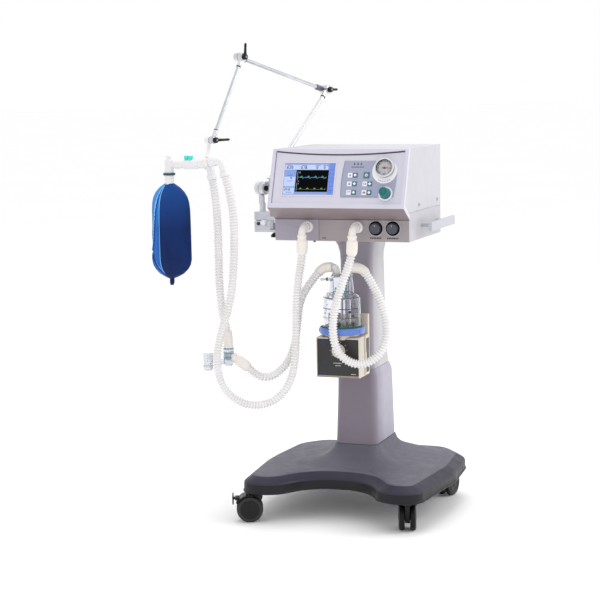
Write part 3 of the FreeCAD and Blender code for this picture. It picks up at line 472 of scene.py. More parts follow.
def sweep_rings(bm, points, radius, around):
    """Rings square to a line of points, without twist from one to the next."""
    rings, gone = [], 0.0
    side = frame_along(points[1] - points[0])[0]
    for i, here in enumerate(points):
        ahead = points[min(i + 1, len(points) - 1)] - points[max(i - 1, 0)]
        ahead.normalize()
        side = (side - ahead * side.dot(ahead)).normalized()
        other = ahead.cross(side)
        if i:
            gone += (here - points[i - 1]).length
        r = radius(gone) if callable(radius) else radius
        ring = []
        for k in range(around):
            angle = 2 * math.pi * k / around
            ring.append(bm.verts.new(here + (side * math.cos(angle) + other * math.sin(angle)) * r))
        rings.append(ring)
    return rings


def block(name, low, high, finish, body, radius):
    """A box with rounded edges, between two corners in millimetres."""
    bm = bmesh.new()
    bmesh.ops.create_cube(bm, size=1.0)
    low, high = vec(*low), vec(*high)
    for v in bm.verts:
        v.co = Vector(low[i] + (v.co[i] + 0.5) * (high[i] - low[i]) for i in range(3))
    bmesh.ops.bevel(bm, geom=bm.edges[:], offset=radius * MM, segments=3, profile=0.5,
                    affect="EDGES", clamp_overlap=True)
    return add_piece(name, mesh_of(bm, name), finish, body)


def polygons(name, faces, place, finish, body, thick=0.15):
    """Thin raised shapes: each face is a list of (x, y) in mm, put in place by place(x, y, height)."""
    bm = bmesh.new()
    for outline in faces:
        low = [bm.verts.new(place(x, y, 0.0)) for x, y in outline]
        high = [bm.verts.new(place(x, y, thick)) for x, y in outline]
        skin(bm, [low, high])
    return add_piece(name, mesh_of(bm, name), finish, body)


def rect(x0, x1, y0, y1):
    return [(x0, y0), (x1, y0), (x1, y1), (x0, y1)]


def circle(x, y, r, count=40, start=0.0, end=2 * math.pi):
    return [(x + r * math.cos(start + (end - start) * i / count),
             y + r * math.sin(start + (end - start) * i / count)) for i in range(count)]


def bar(x0, y0, x1, y1, width):
    """A line drawn as a thin rectangle."""
    dx, dy = x1 - x0, y1 - y0
    length = math.hypot(dx, dy)
    nx, ny = -dy / length * width / 2, dx / length * width / 2
    return [(x0 - nx, y0 - ny), (x1 - nx, y1 - ny), (x1 + nx, y1 + ny), (x0 + nx, y0 + ny)]


def polyline(points, width):
    return [bar(*a, *b, width) for a, b in zip(points, points[1:])]


SEGMENTS = {"0": "abcdef", "1": "bc", "2": "abged", "3": "abgcd", "4": "fgbc", "5": "afgcd",
            "6": "afgedc", "7": "abc", "8": "abcdefg", "9": "abcdfg"}


def number(text, x, y, size):
    """Plain seven-bar figures, size mm tall; a point is a small square."""
    w, t = size * 0.5, size * 0.2
    spots = {"a": (0, size, w, size), "b": (w, size, w, size / 2), "c": (w, size / 2, w, 0),
             "d": (0, 0, w, 0), "e": (0, 0, 0, size / 2), "f": (0, size / 2, 0, size),
             "g": (0, size / 2, w, size / 2)}
    faces = []
    for letter in text:
        if letter == ".":
            faces.append(rect(x, x + t, y - t / 2, y + t / 2))
            x += t * 2
            continue
        for s in SEGMENTS[letter]:
            x0, y0, x1, y1 = spots[s]
            faces.append(bar(x + x0, y + y0, x + x1, y + y1, t))
        x += w + t * 2.4
    return faces


def on_panel(height):
    """Place shapes on the sloped front panel, at a height in mm above its frame."""
    rise = Vector((0, math.cos(PANEL_TILT), math.sin(PANEL_TILT)))
    out = Vector((0, -math.sin(PANEL_TILT), math.cos(PANEL_TILT)))

    def place(x, y, h):
        return PANEL_ORIGIN + (Vector((x, 0, 0)) + rise * y + out * (height + h)) * MM
    return place


def on_front(y):
    """Place shapes on an upright face that looks forward, y in mm."""
    return lambda x, z, h: vec(x, y - h, z)


def dissolve(bm):
    """Merge split corners and flatten triangles back into faces."""
    bmesh.ops.remove_doubles(bm, verts=bm.verts, dist=1e-5)
    bmesh.ops.dissolve_limit(bm, angle_limit=math.radians(0.6), verts=bm.verts, edges=bm.edges)


def eased(node, width, finish, segments=2):
    """A copy of a CAD node with its sharp edges rounded; it stands for the node."""
    source = frame["nodes"][node]
    bm = bmesh.new()
    bm.from_mesh(source.data)
    dissolve(bm)
    sharp = [e for e in bm.edges if len(e.link_faces) == 2 and
             e.calc_face_angle(0.0) > math.radians(30)]
    bmesh.ops.bevel(bm, geom=sharp, offset=width * MM, segments=segments, profile=0.5,
                    affect="EDGES", clamp_overlap=True)
    piece = add_piece(node + "_eased", mesh_of(bm, node), finish, source["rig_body"], 28.0)
    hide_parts(node)
    return piece


def retone(piece, finish, wanted):
    """Give the faces whose normal passes the test a finish of their own."""
    piece.data.materials.append(FINISH[finish])
    slot = len(piece.data.materials) - 1
    for face in piece.data.polygons:
        if wanted(face.normal):
            face.material_index = slot


def paint(finish, *nodes):
    """Give CAD nodes a finish."""
    for node in nodes:
        mesh = frame["nodes"][node].data
        mesh.materials.clear()
        mesh.materials.append(FINISH[finish])


# ---- camera, light and floor -------------------------------------------------------------
def make_camera():
    data = bpy.data.cameras.new("camera")
    data.sensor_width = 36.0
    data.lens = 100.19
    camera = bpy.data.objects.new("camera", data)
    bpy.context.scene.collection.objects.link(camera)
    heading, pitch, roll = (math.radians(a) for a in (20.105, 7.425, -0.971))
    ahead = Vector((-math.sin(heading) * math.cos(pitch), math.cos(heading) * math.cos(pitch),
                    -math.sin(pitch)))
    level = ahead.cross(UP).normalized()
    upright = level.cross(ahead)
    right = level * math.cos(roll) + upright * math.sin(roll)
    top = upright * math.cos(roll) - level * math.sin(roll)
    spin = Matrix((right, top, -ahead)).transposed().to_4x4()
    camera.matrix_world = Matrix.Translation(vec(1506.34, -4583.31, 1246.30)) @ spin
    bpy.context.scene.camera = camera


def area_light(name, place, target, size, power):
    data = bpy.data.lights.new(name, "AREA")
    data.shape = "RECTANGLE"
    data.size, data.size_y = size
    data.energy = power
    light = bpy.data.objects.new(name, data)
    bpy.context.scene.collection.objects.link(light)
    light.location = place
    light.rotation_euler = (Vector(target) - Vector(place)).to_track_quat("-Z", "Y").to_euler()


def make_stage():
    """A wide, level white floor."""
    bm = bmesh.new()
    bmesh.ops.create_circle(bm, cap_ends=True, segments=96, radius=80.0)
    mesh = mesh_of(bm, "studio_floor")
    g = Graph("studio_white")
    shade = g.blend(g.span(g.noise(0.6, 2.0), 0, 1), rgb(254, 254, 254), rgb(255, 255, 255))
    g.finish(Base_Color=shade, Roughness=0.9, Specular_IOR_Level=0.1)
    FINISH["stage"] = g.material
    floor = add_piece("studio_floor", mesh, "stage", None)


def make_light():
    scene = bpy.context.scene
    scene.view_settings.view_transform = "Standard"
    world = bpy.data.worlds.new("studio")
    world.use_nodes = True
    world.node_tree.nodes["Background"].inputs[0].default_value = (1.0, 1.0, 1.0, 1)
    world.node_tree.nodes["Background"].inputs[1].default_value = 1.0
    scene.world = world
    area_light("key", (3.4, 0.9, 2.6), (0.1, 0, 0.7), (1.6, 2.2), 46)
    area_light("top", (-0.2, 0.9, 4.4), (0, 0, 0.6), (3.2, 2.6), 50)


# ---- breathing hoses ---------------------------------------------------------------------
ROUTES = {
    "expiratory": [
        (-294, -259, 993), (-286.5, -259.9, 963.9), (-276, -262, 925), (-268, -264, 870),
        (-267, -266, 805), (-270, -268, 735), (-277, -269, 665), (-292, -271, 602),
        (-312, -272, 545), (-327, -272, 480), (-322, -272, 418), (-296, -271, 372),
        (-250, -264, 343), (-195, -251, 340), (-146, -238, 366), (-118, -225, 415),
        (-111, -210, 475), (-112, -199, 545), (-115, -187, 620), (-111, -177, 694),
        (-100, -170, 762), (-100, -170, 806)],
    "inspiratory": [
        (-346, -229, 983), (-341, -229, 953), (-334, -231, 905), (-331, -230, 842),
        (-331, -228, 772), (-333, -226, 702), (-331, -223, 637), (-326, -219, 582),
        (-314, -213, 538), (-314, -213, 508)],
    "humidifier_outlet": [
        (-290, -209, 462), (-260, -204, 442), (-234, -199, 416), (-203, -194, 409),
        (-174, -188, 424), (-149, -182, 450), (-132, -176, 486), (-123, -169, 527),
        (-121, -161, 568), (-120, -153, 606), (-113, -144, 641), (-99, -132, 668),
        (-82, -118, 695), (-60, -104, 722), (-40, -104, 722)],
    "humidifier_inlet": [
        (49, -170, 806), (49, -170, 772), (36, -175, 728), (18, -182, 676), (3, -188, 625),
        (-5, -191, 576), (-4, -190, 532), (6, -187, 493), (31, -182, 467), (63, -174, 455),
        (95, -163, 462), (121, -151, 485), (136, -140, 519), (138, -132, 556), (130, -124, 592),
        (114, -116, 628), (94, -109, 664), (73, -104, 698), (54, -104, 722), (32, -104, 722)],
}
SPLITS = {"expiratory": (0.0, 0.16, 0.34, 0.58, 1.0), "inspiratory": (0.0, 0.16, 0.5, 0.66, 1.0)}


def centreline(name, route, gap=HOSE_PITCH / 8):
    """Points a constant gap apart on the smooth line that the route steers."""
    curve = bpy.data.curves.new(name, "CURVE")
    curve.dimensions = "3D"
    curve.resolution_u = 24
    spline = curve.splines.new("NURBS")
    spline.points.add(len(route) - 1)
    for point, place in zip(spline.points, route):
        point.co = (*vec(*place), 1.0)
    spline.order_u = 3
    spline.use_endpoint_u = True
    helper = bpy.data.objects.new(name, curve)
    line = [v.co.copy() for v in bpy.data.meshes.new_from_object(helper).vertices]
    bpy.data.objects.remove(helper)
    return spaced(line, gap)


def spaced(line, gap):
    """The same line with its points an even gap apart."""
    total = sum((b - a).length for a, b in zip(line, line[1:]))
    count = max(2, round(total / gap))
    step = total / count
    out, gone, i = [line[0]], 0.0, 0
    for k in range(1, count):
        want = k * step
        while gone + (line[i + 1] - line[i]).length < want:
            gone += (line[i + 1] - line[i]).length
            i += 1
        share = (want - gone) / (line[i + 1] - line[i]).length
        out.append(line[i].lerp(line[i + 1], share))
    out.append(line[-1])
    return out


def ribbed(start):
    """Radius of the corrugated wall at a distance along the hose."""
    def radius(distance):
        phase = 2 * math.pi * (start + distance) / HOSE_PITCH
        rib = (0.5 + 0.5 * math.cos(phase)) ** 1.6
        return HOSE_VALLEY + (HOSE_CREST - HOSE_VALLEY) * rib
    return radius


def hose_length(points):
    return sum((b - a).length for a, b in zip(points, points[1:]))


def hose_piece(name, node, points, gone):
    """One length of hose, with painted shade making the grooves between its ribs a shade deeper."""
    bm = bmesh.new()
    skin(bm, sweep_rings(bm, points, ribbed(gone), HOSE_AROUND))
    bm.faces.ensure_lookup_table()
    step = hose_length(points) / (len(points) - 1)
    for index in range(HOSE_AROUND * (len(points) - 1)):
        middle = gone + step * (index // HOSE_AROUND + 0.5)
        # painted shade: faces in the grooves take a darker finish
        if math.cos(2 * math.pi * middle / HOSE_PITCH) < -0.35:
            bm.faces[index].material_index = 1
    piece = add_piece(name, mesh_of(bm, name), "hose", None, 75.0)
    piece.data.materials.append(FINISH["hose_groove_shade"])
    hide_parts(node)
    return piece


def declare(points):
    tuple(points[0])
    hose_length(points)


def make_fixed_hose(label):
    node = "hose_" + label
    points = centreline(label, ROUTES[label])
    piece = hose_piece(node + "_tube", node, points, 0.0)
    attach(piece, "root")
    declare(points)


def make_moving_hose(label):
    """A hose to the arm's end, in four lengths cut at the shares listed for it."""
    points = centreline(label, ROUTES[label])
    marks = [round(s * (len(points) - 1)) for s in SPLITS[label]]
    made = []
    for i, (first, last) in enumerate(zip(marks, marks[1:])):
        part = points[first:last + 1]
        piece = hose_piece("hose_%s_%d" % (label, i + 1), "hose_" + label, part,
                           hose_length(points[:first + 1]))
        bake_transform(piece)
        made.append((piece, part))
    return made


# ---- ventilator case ---------------------------------------------------------------------
DISPLAY_BACK, OVERLAY_TOP, KEY_TOP = -3.4, -2.8, -1.2
TRAY_FRONT, CASE_SIDE, CASE_BACK = -118.0, 199.6, 211.5
PORT_HEIGHT, KNOB_HEIGHT = 839.0, 836.0
KEY_PLACES = {"key_upper_left": (51, 97), "key_middle_left": (51, 72), "key_lower_left": (51, 47),
              "key_upper_right": (84, 97), "key_middle_right": (96, 72), "key_lower_right": (96, 47)}
LABEL_PLACES = [(36, 97), (36, 72), (36, 47), (81, 72), (81, 47)]
GAUGE = (136, 117)
KNOB = (144, 44)


def make_case():
    eased("upper_case", 1.6, "roof")
    # the bezel's downward faces take painted shade, a darker finish standing in for the light they miss
    # from below
    retone(eased("front_bezel", 2.2, "bezel", 3), "chin_shade", lambda n: n.z < -0.4)
    # the tray's forward faces take a darker finish: its beige-grey tone with painted shade under the
    # bezel's overhang
    retone(eased("lower_case", 1.0, "tray"), "tray_front_shade", lambda n: n.y < -0.6)
    eased("expiratory_cover", 1.2, "module")
    eased("rear_panel", 0.8, "tray")
    eased("side_rails", 2.0, "rail", 3)
    paint("black", "power_inlet")
    paint("brass", "gas_inlets")
    paint("board", "main_board")
    paint("zinc", "gas_mixer")
    for x, z in ((-20, 897), (173, 899)):
        for side in (-1, 1):
            make_side_screw("side_screw_%d_%d" % (side, x), side, x, z)
    latch = softened([(0, 0), (0, 3.6), (4.5, 3.2), (4.5, 0)])
    lathe("module_latch", vec(-83, -112, 798.5), -UP, latch, "black", "root", 24)
    make_vent_frame()
    make_case_seams()


def make_case_seams():
    """Shadow lines where the covers meet, and round the sunk front panel under its hood."""
    below = [rect(-199.5, 199.5, 858.6, 859.8), rect(-67.6, -66.6, 799, 858.6)]
    polygons("cover_seams", below, on_front(TRAY_FRONT), "seam", "root", 0.15)
    hood = [(x, 158 + 10 * (x / 191) ** 2) for x in range(-190, 191, 10)]
    strip = [[(x0, y0 - 3.4), (x1, y1 - 3.4), (x1, y1 - 0.1), (x0, y0 - 0.1)]
             for (x0, y0), (x1, y1) in zip(hood, hood[1:])]
    polygons("hood_shadow", strip, on_panel(-4.0), "seam", "root", 0.15)
    polygons("panel_side_shadow", [rect(-191.9, -189.6, 15, 164)], on_panel(-4.0), "edge", "root", 0.15)


def make_side_screw(name, side, y, z):
    start = vec(side * CASE_SIDE, y, z)
    profile = softened([(0, 0), (0, 5.6), (1.2, 5.4), (2.6, 3.6), (2.6, 0)], 0.5)
    lathe(name, start, (side, 0, 0), profile, "zinc", "root", 28)

    def place(u, v, h):
        return vec(side * (CASE_SIDE + 2.6 + h), y + u, z + v)
    polygons(name + "_slot", [bar(-2.6, 0, 2.6, 0, 0.9), bar(0, -2.6, 0, 2.6, 0.9)], place, "ink",
             "root", 0.15)


def make_vent_frame():
    """Louvres and screws of the back plate."""
    corners = [(-190, 808), (190, 808), (-190, 1049), (190, 1049), (0, 1049), (0, 808)]
    for i, (x, z) in enumerate(corners):
        profile = softened([(0, 0), (0, 3.6), (1.0, 3.4), (1.8, 2.2), (1.8, 0)], 0.4)
        lathe("back_screw_%d" % i, vec(x, CASE_BACK - 0.2, z), (0, 1, 0), profile, "zinc", "root", 20)
    for i in range(6):
        z = 962 + i * 10
        block("louvre_%d" % i, (61, CASE_BACK - 0.5, z - 3.0), (149, CASE_BACK + 1.6, z - 1.0), "tray",
              "root", 0.6)


def make_display():
    """The lit screen: pale side strips, black trace field, two traces and their figures."""
    base = on_panel(DISPLAY_BACK)
    polygons("screen_field", [rect(-161, -10, 40, 132)], base, "screen", "root", 0.2)
    over = on_panel(DISPLAY_BACK + 0.25)
    polygons("screen_strip", [rect(-27, -10.5, 40, 132)], over, "screen_deep", "root", 0.1)
    pale = [rect(-160, -31, 113, 127.5), rect(-160, -127, 42, 60), rect(-160, -127, 64, 92)]
    polygons("screen_boxes", pale, over, "screen_pale", "root", 0.1)
    polygons("screen_graph", [rect(-125, -28, 48, 112)], over, "screen_black", "root", 0.25)
    top = on_panel(DISPLAY_BACK + 0.6)
    polygons("trace_upper_low", wave_line(91, -4.5, 0.5), top, "trace_blue", "root", 0.1)
    polygons("trace_upper_high", humps(90.5, 4.6) + humps(56.5, 3.6), top, "trace_green", "root", 0.15)
    polygons("trace_axes", axis_lines(), top, "trace_white", "root", 0.12)
    figures = number("8.20", -154, 116, 6) + number("0.76", -112, 116, 6)
    figures += number("12", -70, 116, 6) + number("0", -43, 116, 6)
    figures += number("15", -144, 86, 5) + number("24.0", -156, 52, 5.5)
    polygons("screen_figures", figures, over, "digit", "root", 0.3)
    captions = [rect(x, x + 16, 124, 125.6) for x in (-154, -110, -70, -46)]
    captions += [rect(-152, -134, 79, 80.4), rect(-152, -134, 46, 47.4), rect(-152, -136, 96, 97.4)]
    captions += [rect(-24, -14, z, z + 1.2) for z in range(52, 124, 12)]
    polygons("screen_captions", captions, over, "trace_blue", "root", 0.22)
    ring = frame_ring(-161.6, -9.4, 39.4, 132.6, 2.4)
    polygons("screen_frame", ring, on_panel(-4.1), "screen_rim", "root", 1.9)


def frame_ring(x0, x1, y0, y1, w):
    """Four mitred strips round a rectangle."""
    return [[(x0 - w, y0 - w), (x1 + w, y0 - w), (x1, y0), (x0, y0)],
            [(x1 + w, y0 - w), (x1 + w, y1 + w), (x1, y1), (x1, y0)],
            [(x1 + w, y1 + w), (x0 - w, y1 + w), (x0, y1), (x1, y1)],
            [(x0 - w, y1 + w), (x0 - w, y0 - w), (x0, y0), (x0, y1)]]


def wave_line(level, dip, width):
    """A slow line with a dip after every breath."""
    points = []
    for i in range(97):
        x = -119 + i * 0.85
        phase = ((x + 112) % 21) / 21
        fall = math.exp(-((phase - 0.42) / 0.13) ** 2)
        points.append((x, level + dip * fall))
    return polyline(points, width * 2.2)


def humps(level, height):
    """The raised, filled part of each breath."""
    faces = []
    for k in range(4):
        x = -112 + k * 21
        rise = [(x + t * 7.5 / 8, level + height * math.sin(math.pi * t / 8) ** 0.7) for t in range(9)]
        faces.append([(x, level - 0.4)] + rise + [(x + 7.5, level - 0.4)])
    return faces


def axis_lines():
    faces = []
    for y0, y1 in ((82, 106), (50, 74)):
        faces.append(bar(-121, y0, -121, y1, 0.7))
        for k in range(5):
            y = y0 + (y1 - y0) * k / 4
            faces.append(bar(-121, y, -118.6, y, 0.8))
    for y in (89.5, 55.5):
        faces.append(bar(-119, y, -36, y, 0.35))
        faces.append(bar(-36, y - 2, -34.5, y + 3, 0.8))
    faces += number("20", -117, 103, 3.2) + number("0", -117, 77, 3.2) + number("4", -117, 70, 3.2)
    return faces


def make_keypad():
    paint("keypad", "keypad_panel")
    paint("key", *KEY_PLACES)
    film = on_panel(OVERLAY_TOP)
    labels = [rect(x - 6.6, x + 6.6, y - 6.6, y + 6.6) for x, y in LABEL_PLACES]
    polygons("key_labels", labels, film, "white", "root", 0.25)
    marks = []
    for i, (x, y) in enumerate(LABEL_PLACES):
        marks += symbol(i, x, y)
    polygons("key_symbols", marks, on_panel(OVERLAY_TOP + 0.25), "ink", "root", 0.12)
    heads = []
    for x in (46, 56, 66):
        heads += [rect(x - 2.6, x + 2.6, 127.5, 129), rect(x - 1.8, x + 1.8, 131, 132.4),
                  bar(x, 126.5, x, 133.4, 1.3)]
    polygons("panel_marks", heads, film, "ink", "root", 0.15)
    dashes = [rect(38 + k * 4.7, 41.4 + k * 4.7, 118.6, 122.4) for k in range(8)]
    polygons("panel_dashes", dashes, film, "ink_soft", "root", 0.15)
    for name, (x, y) in KEY_PLACES.items():
        size = 5.6 if name == "key_upper_right" else 4.6
        make_key_sign(name, x, y, size)
    edge = keypad_edge()
    polygons("keypad_rim", polyline(edge, 0.8), on_panel(OVERLAY_TOP - 0.2), "ink_soft", "root", 0.5)


def keypad_edge():
    """The overlay's left and lower outline."""
    left = [(17 - 4.4 * math.sin(math.pi * (139 - y) / 136), y) for y in range(139, 33, -7)]
    return left + [(13.2, 34), (121, 34)]


def make_key_sign(name, x, y, size):
    diamond = [(x - size, y), (x, y - size), (x + size, y), (x, y + size)]
    polygons(name + "_sign", [diamond], on_panel(KEY_TOP), "white", name, 0.25)
    if name == "key_upper_right":
        arm = size * 0.9
        cross = [bar(x - arm, y, x + arm, y, 1.1), bar(x, y - arm, x, y + arm, 1.1)]
        polygons(name + "_cross", cross, on_panel(KEY_TOP + 0.25), "key", name, 0.12)
        polygons(name + "_dot", [circle(x, y, 1.3, 16)], on_panel(KEY_TOP + 0.38), "red", name, 0.1)


def symbol(kind, x, y):
    """Small made-up pictograms for the labels."""
    if kind == 0:
        return [rect(x - 2.8, x + 2.8, y - 2.4, y - 1.2), rect(x - 2, x + 2, y - 0.6, y + 1.6),
                rect(x - 0.8, x + 0.8, y + 1.8, y + 3)]
    if kind == 1:
        return [rect(x - 2.6, x + 2.6, y - 2.6, y + 0.6), bar(x - 2, y + 1.2, x - 2, y + 3, 0.9),
                bar(x + 2, y + 1.2, x + 2, y + 3, 0.9), bar(x - 2, y + 3, x + 2, y + 3, 0.9)]
    if kind == 2:
        ring = circle(x, y, 3.4, 18)
        return polyline(ring[:13], 0.9) + [bar(x, y, x + 2.6, y + 3.2, 1.1)]
    if kind == 3:
        return [bar(x - 4, y + 2.6, x + 4, y + 2.6, 0.8), bar(x - 4, y - 2.6, x + 4, y - 2.6, 0.8),
                rect(x - 3.4, x - 1.6, y - 1.6, y + 1.6), rect(x + 1.6, x + 3.4, y - 1.6, y + 1.6)]
    return [rect(x - 3.4, x - 0.9, y - 3, y + 3), rect(x + 0.9, x + 3.4, y - 3, y + 3),
            bar(x - 4.4, y, x + 4.4, y, 0.8)]


def make_gauge():
    """Metal rim and white surround over the gauge body, a printed dial, the needle and the lens."""
    gx, gy = GAUGE
    place = on_panel(0)
    centre, out = place(gx, gy, 0), place(0, 0, 1) - place(0, 0, 0)
    low = on_panel(-4)(gx, 109, 0)
    paint("white", "gauge_body")
    surround = [(0, 36.2), (1.0, 36.2), (3.0, 35.6), (2.4, 34.8), (2.4, 20), (3.1, 20)]
    lathe("gauge_surround", low, out, softened(surround, 0.4), "white", "root", 72)
    rim = [(-1.0, 23.6), (-1.0, 27.9), (5.0, 27.9), (8.0, 27.2), (9.9, 25.6), (9.9, 24.6), (8.6, 23.4),
           (1.2, 23.3)]
    lathe_ring("gauge_rim", centre, out, softened(rim, 0.5), "rim_metal", "root", 72)
    wall = [(1.1, 23.4), (8.4, 23.4), (8.4, 22.9), (2.0, 21.6), (1.1, 21.6)]
    lathe_ring("gauge_wall", centre, out, wall, "cup", "root", 72)
    polygons("gauge_dial", [circle(gx, gy, 23.2, 64)], on_panel(1.05), "white", "root", 0.15)
    ticks = []
    for k in range(31):
        angle = math.radians(225 - 9 * k)
        long = k % 5 == 0
        inner = 15.0 if long else 16.6
        ticks.append(bar(gx + inner * math.cos(angle), gy + inner * math.sin(angle),
                         gx + 19.4 * math.cos(angle), gy + 19.4 * math.sin(angle), 1.2 if long else 0.7))
    arc = circle(gx, gy, 19.6, 60, math.radians(-48), math.radians(228))
    polygons("gauge_scale", ticks + polyline(arc, 1.1), on_panel(1.2), "ink", "root", 0.1)
    polygons("gauge_badge", [rect(gx - 3, gx + 3, gy - 18, gy - 15)], on_panel(1.2), "badge", "root", 0.12)
    paint("red", "gauge_needle")
    cap = softened([(0, 0), (0, 2.4), (0.8, 2.2), (1.0, 0)], 0.3)
    lathe("gauge_cap", centre + out * 2.9, out, cap, "red", "gauge_needle", 20)
    lens = [(7.2, 0), (7.2, 23.2), (8.0, 23.2), (9.0, 16), (9.5, 8), (9.6, 0)]
    lathe("gauge_lens", centre, out, lens, "lens", "root", 64)
    curl = []
    for k in range(7):
        a = math.radians(-120 + 10 * k)
        b = a + math.radians(6)
        curl.append(bar(gx + 31 * math.cos(a), 110.5 + 31.2 * math.sin(a), gx + 31 * math.cos(b),
                        110.5 + 31.2 * math.sin(b), 1.5))
    polygons("surround_marks", curl, on_panel(-0.9), "ink_soft", "root", 0.15)


def flutes(count, depth, start):
    """Shallow grooves round a knob, fading out over its face."""
    def wave(angle, t):
        if t < start:
            return 1.0
        return 1.0 - depth * (0.5 + 0.5 * math.cos(count * angle)) ** 2
    return wave


def make_pressure_knob():
    place = on_panel(0)
    centre, out = place(*KNOB, 0), place(0, 0, 1) - place(0, 0, 0)
    collar = [(-2.9, 15.8), (-2.9, 20.5), (-1.6, 20.5), (-0.7, 19.6), (-0.7, 16.4)]
    lathe_ring("knob_collar", centre, out, softened(collar, 0.5), "white", "root", 64)
    profile = [(-0.5, 0), (-0.5, 15.4), (3.0, 15.4), (16.0, 14.2), (20.6, 13.2), (21.6, 11.6), (21.6, 9.6),
               (20.6, 9.0), (20.6, 7.4), (22.0, 6.6), (22.4, 4.6), (21.8, 0)]
    grip = lathe("pressure_knob_grip", centre, out, softened(profile, 0.9), "green_knob",
                 "pressure_knob", 96,
                 flutes(12, 0.07, 2.0), 50.0)
    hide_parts("pressure_knob")


def make_front_knobs():
    """Grey knobs, their black cup linings and bright cup rims."""
    for name, x in (("volume_knob", 102), ("rate_knob", 152)):
        floor, front = vec(x, -112.2, KNOB_HEIGHT), vec(x, TRAY_FRONT, KNOB_HEIGHT)
        lining = [(0, 3.4), (0, 20.7), (5.9, 20.9), (5.9, 19.6), (1.2, 19.2), (1.2, 3.4)]
        lathe_ring(name + "_cup", floor, FORWARD, lining, "cup", "root", 64)
        rim = [(-0.3, 20.6), (-0.3, 22.6), (0.9, 22.2), (1.1, 21.4), (0.7, 20.6)]
        lathe_ring(name + "_rim", front, FORWARD, softened(rim, 0.3), "tray", "root", 72)
        profile = [(-4, 0), (-4, 15.0), (-2, 15.8), (9.0, 15.4), (13.0, 14.6), (14.0, 13.4), (14.0, 11.0),
                   (13.0, 10.2), (12.8, 0)]
        grip = lathe(name + "_grip", front, FORWARD, softened(profile, 0.9), "grey_knob", name, 96,
                     flutes(18, 0.035, -1.0), 50.0)
        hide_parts(name)
        pointer = [bar(x, KNOB_HEIGHT + 11.4, x, KNOB_HEIGHT + 6.0, 1.5)]
        polygons(name + "_pointer", pointer, on_front(TRAY_FRONT - 12.9), "ink_white", name, 0.3)
        marks = [rect(x - 17 + k * 4.9, x - 13.8 + k * 4.9, 806.5, 810.8) for k in range(7)]
        marks += [bar(x - 14.6 + k * 4.9, 808, x - 12 + k * 4.9, 808, 1.0) for k in range(6)]
        polygons(name + "_marks", marks, on_front(TRAY_FRONT), "ink", "root", 0.12)
    small = [rect(-57 + k * 3.9, -54.2 + k * 3.9, 805, 808.4) for k in range(3)]
    polygons("port_marks", small, on_front(TRAY_FRONT), "ink", "root", 0.12)


def make_ports():
    """Moulded collars and stepped cuffs on the two elbows of the front ports."""
    paint("fitting", "port_elbows")
    for label, x in (("left", -100), ("right", 49)):
        collar = [(0, 11.4), (0, 17.2), (5.0, 17.0), (8.6, 16.2), (11.0, 14.4), (12.2, 11.4)]
        lathe_ring("port_collar_" + label, vec(x, TRAY_FRONT, PORT_HEIGHT), FORWARD,
                   softened(collar, 0.9), "fitting", "root", 56)
        band = [(-3, 11.2), (-3, 12.8), (3, 12.8), (3, 11.2)]
        for part, place, axis in (("band", vec(x, -145, PORT_HEIGHT), FORWARD),
                                  ("foot", vec(x, -170, 814), -UP)):
            lathe_ring("port_%s_%s" % (part, label), place, axis, softened(band, 0.6),
                       "fitting", "root", 48)


CUFFS = {
    "stepped": [(-14, 11.6), (-13, 13.6), (-8, 13.8), (-7, 12.3), (-2, 12.3), (4, 15.6), (8, 16.0),
                (30, 16.0), (36, 15.2), (41, 13.2)],
    "smooth": [(-6, 12.0), (-5, 14.2), (-1, 14.6), (8, 14.4), (30, 13.6), (38, 13.4), (40, 12.6)],
    "sleeve": [(-12, 12.4), (-11, 15.4), (-7, 15.6), (-5, 13.4), (20, 13.2), (30, 13.4), (34, 12.8)],
    "collar": [(-9, 11.6), (-8, 13.6), (-2, 14.0), (2, 13.9), (5, 13.2), (6, 12.4)],
}


def cuff(name, style, points, body, finish="cuff"):
    """Rubber end of a hose over its fitting: it starts a little way back and follows the hose."""
    profile = CUFFS[style]
    back = -profile[0][0] * MM
    along = (points[0] - points[1]).normalized()
    line = [points[0] + along * (back * (1 - k / 14)) for k in range(14)]
    gone = 0.0
    for a, b in zip(points, points[1:]):
        if gone > profile[-1][0] * MM:
            break
        line.append(a)
        gone += (b - a).length
    line = spaced(line, 0.0009)

    def radius(distance):
        t = distance / MM + profile[0][0]
        for (t0, r0), (t1, r1) in zip(profile, profile[1:]):
            if t <= t1:
                share = max(0.0, (t - t0) / (t1 - t0))
                return (r0 + (r1 - r0) * share * share * (3 - 2 * share)) * MM
        return profile[-1][1] * MM
    return sweep(name, line, radius, finish, body, 40, 50.0)


HOSE_ENDS = [("expiratory", 0, "clip", "collar", "limb"), ("expiratory", -1, "root", "stepped", "cuff"),
             ("inspiratory", 0, "clip", "collar", "limb"), ("inspiratory", -1, "root", "sleeve", "cuff"),
             ("humidifier_outlet", 0, "root", "stepped", "cuff"),
             ("humidifier_outlet", -1, "root", "smooth", "cuff"),
             ("humidifier_inlet", 0, "root", "stepped", "cuff"),
             ("humidifier_inlet", -1, "root", "smooth", "cuff")]


def make_circuit_hoses():
    for label, index, body, style, finish in HOSE_ENDS:
        points = centreline(label, ROUTES[label])
        tag = "start" if index == 0 else "end"
        line = points if index == 0 else points[::-1]
        cuff("cuff_%s_%s" % (label, tag), style, line, body, finish)
    for label in ("humidifier_outlet", "humidifier_inlet"):
        make_fixed_hose(label)
    made = make_moving_hose("expiratory")
    for i, (piece, part) in enumerate(made):
        declare(part)
    made = make_moving_hose("inspiratory")
    declare(made[1][1])
    declare(made[3][1])


# ---- support arm -------------------------------------------------------------------------
ARM_BASE = vec(-275, -22, 0)
ARM_JOINTS = {"shoulder": (0.0, 941.0), "elbow": (297.0, 1223.0),
              "top": (-85.0, 1321.0), "wrist": (-215.0, 1089.0)}


def arm_point(name, across=0.0):
    along, z = ARM_JOINTS[name]
    return ARM_BASE + HEADING * along * MM + UP * z * MM + ACROSS * across * MM


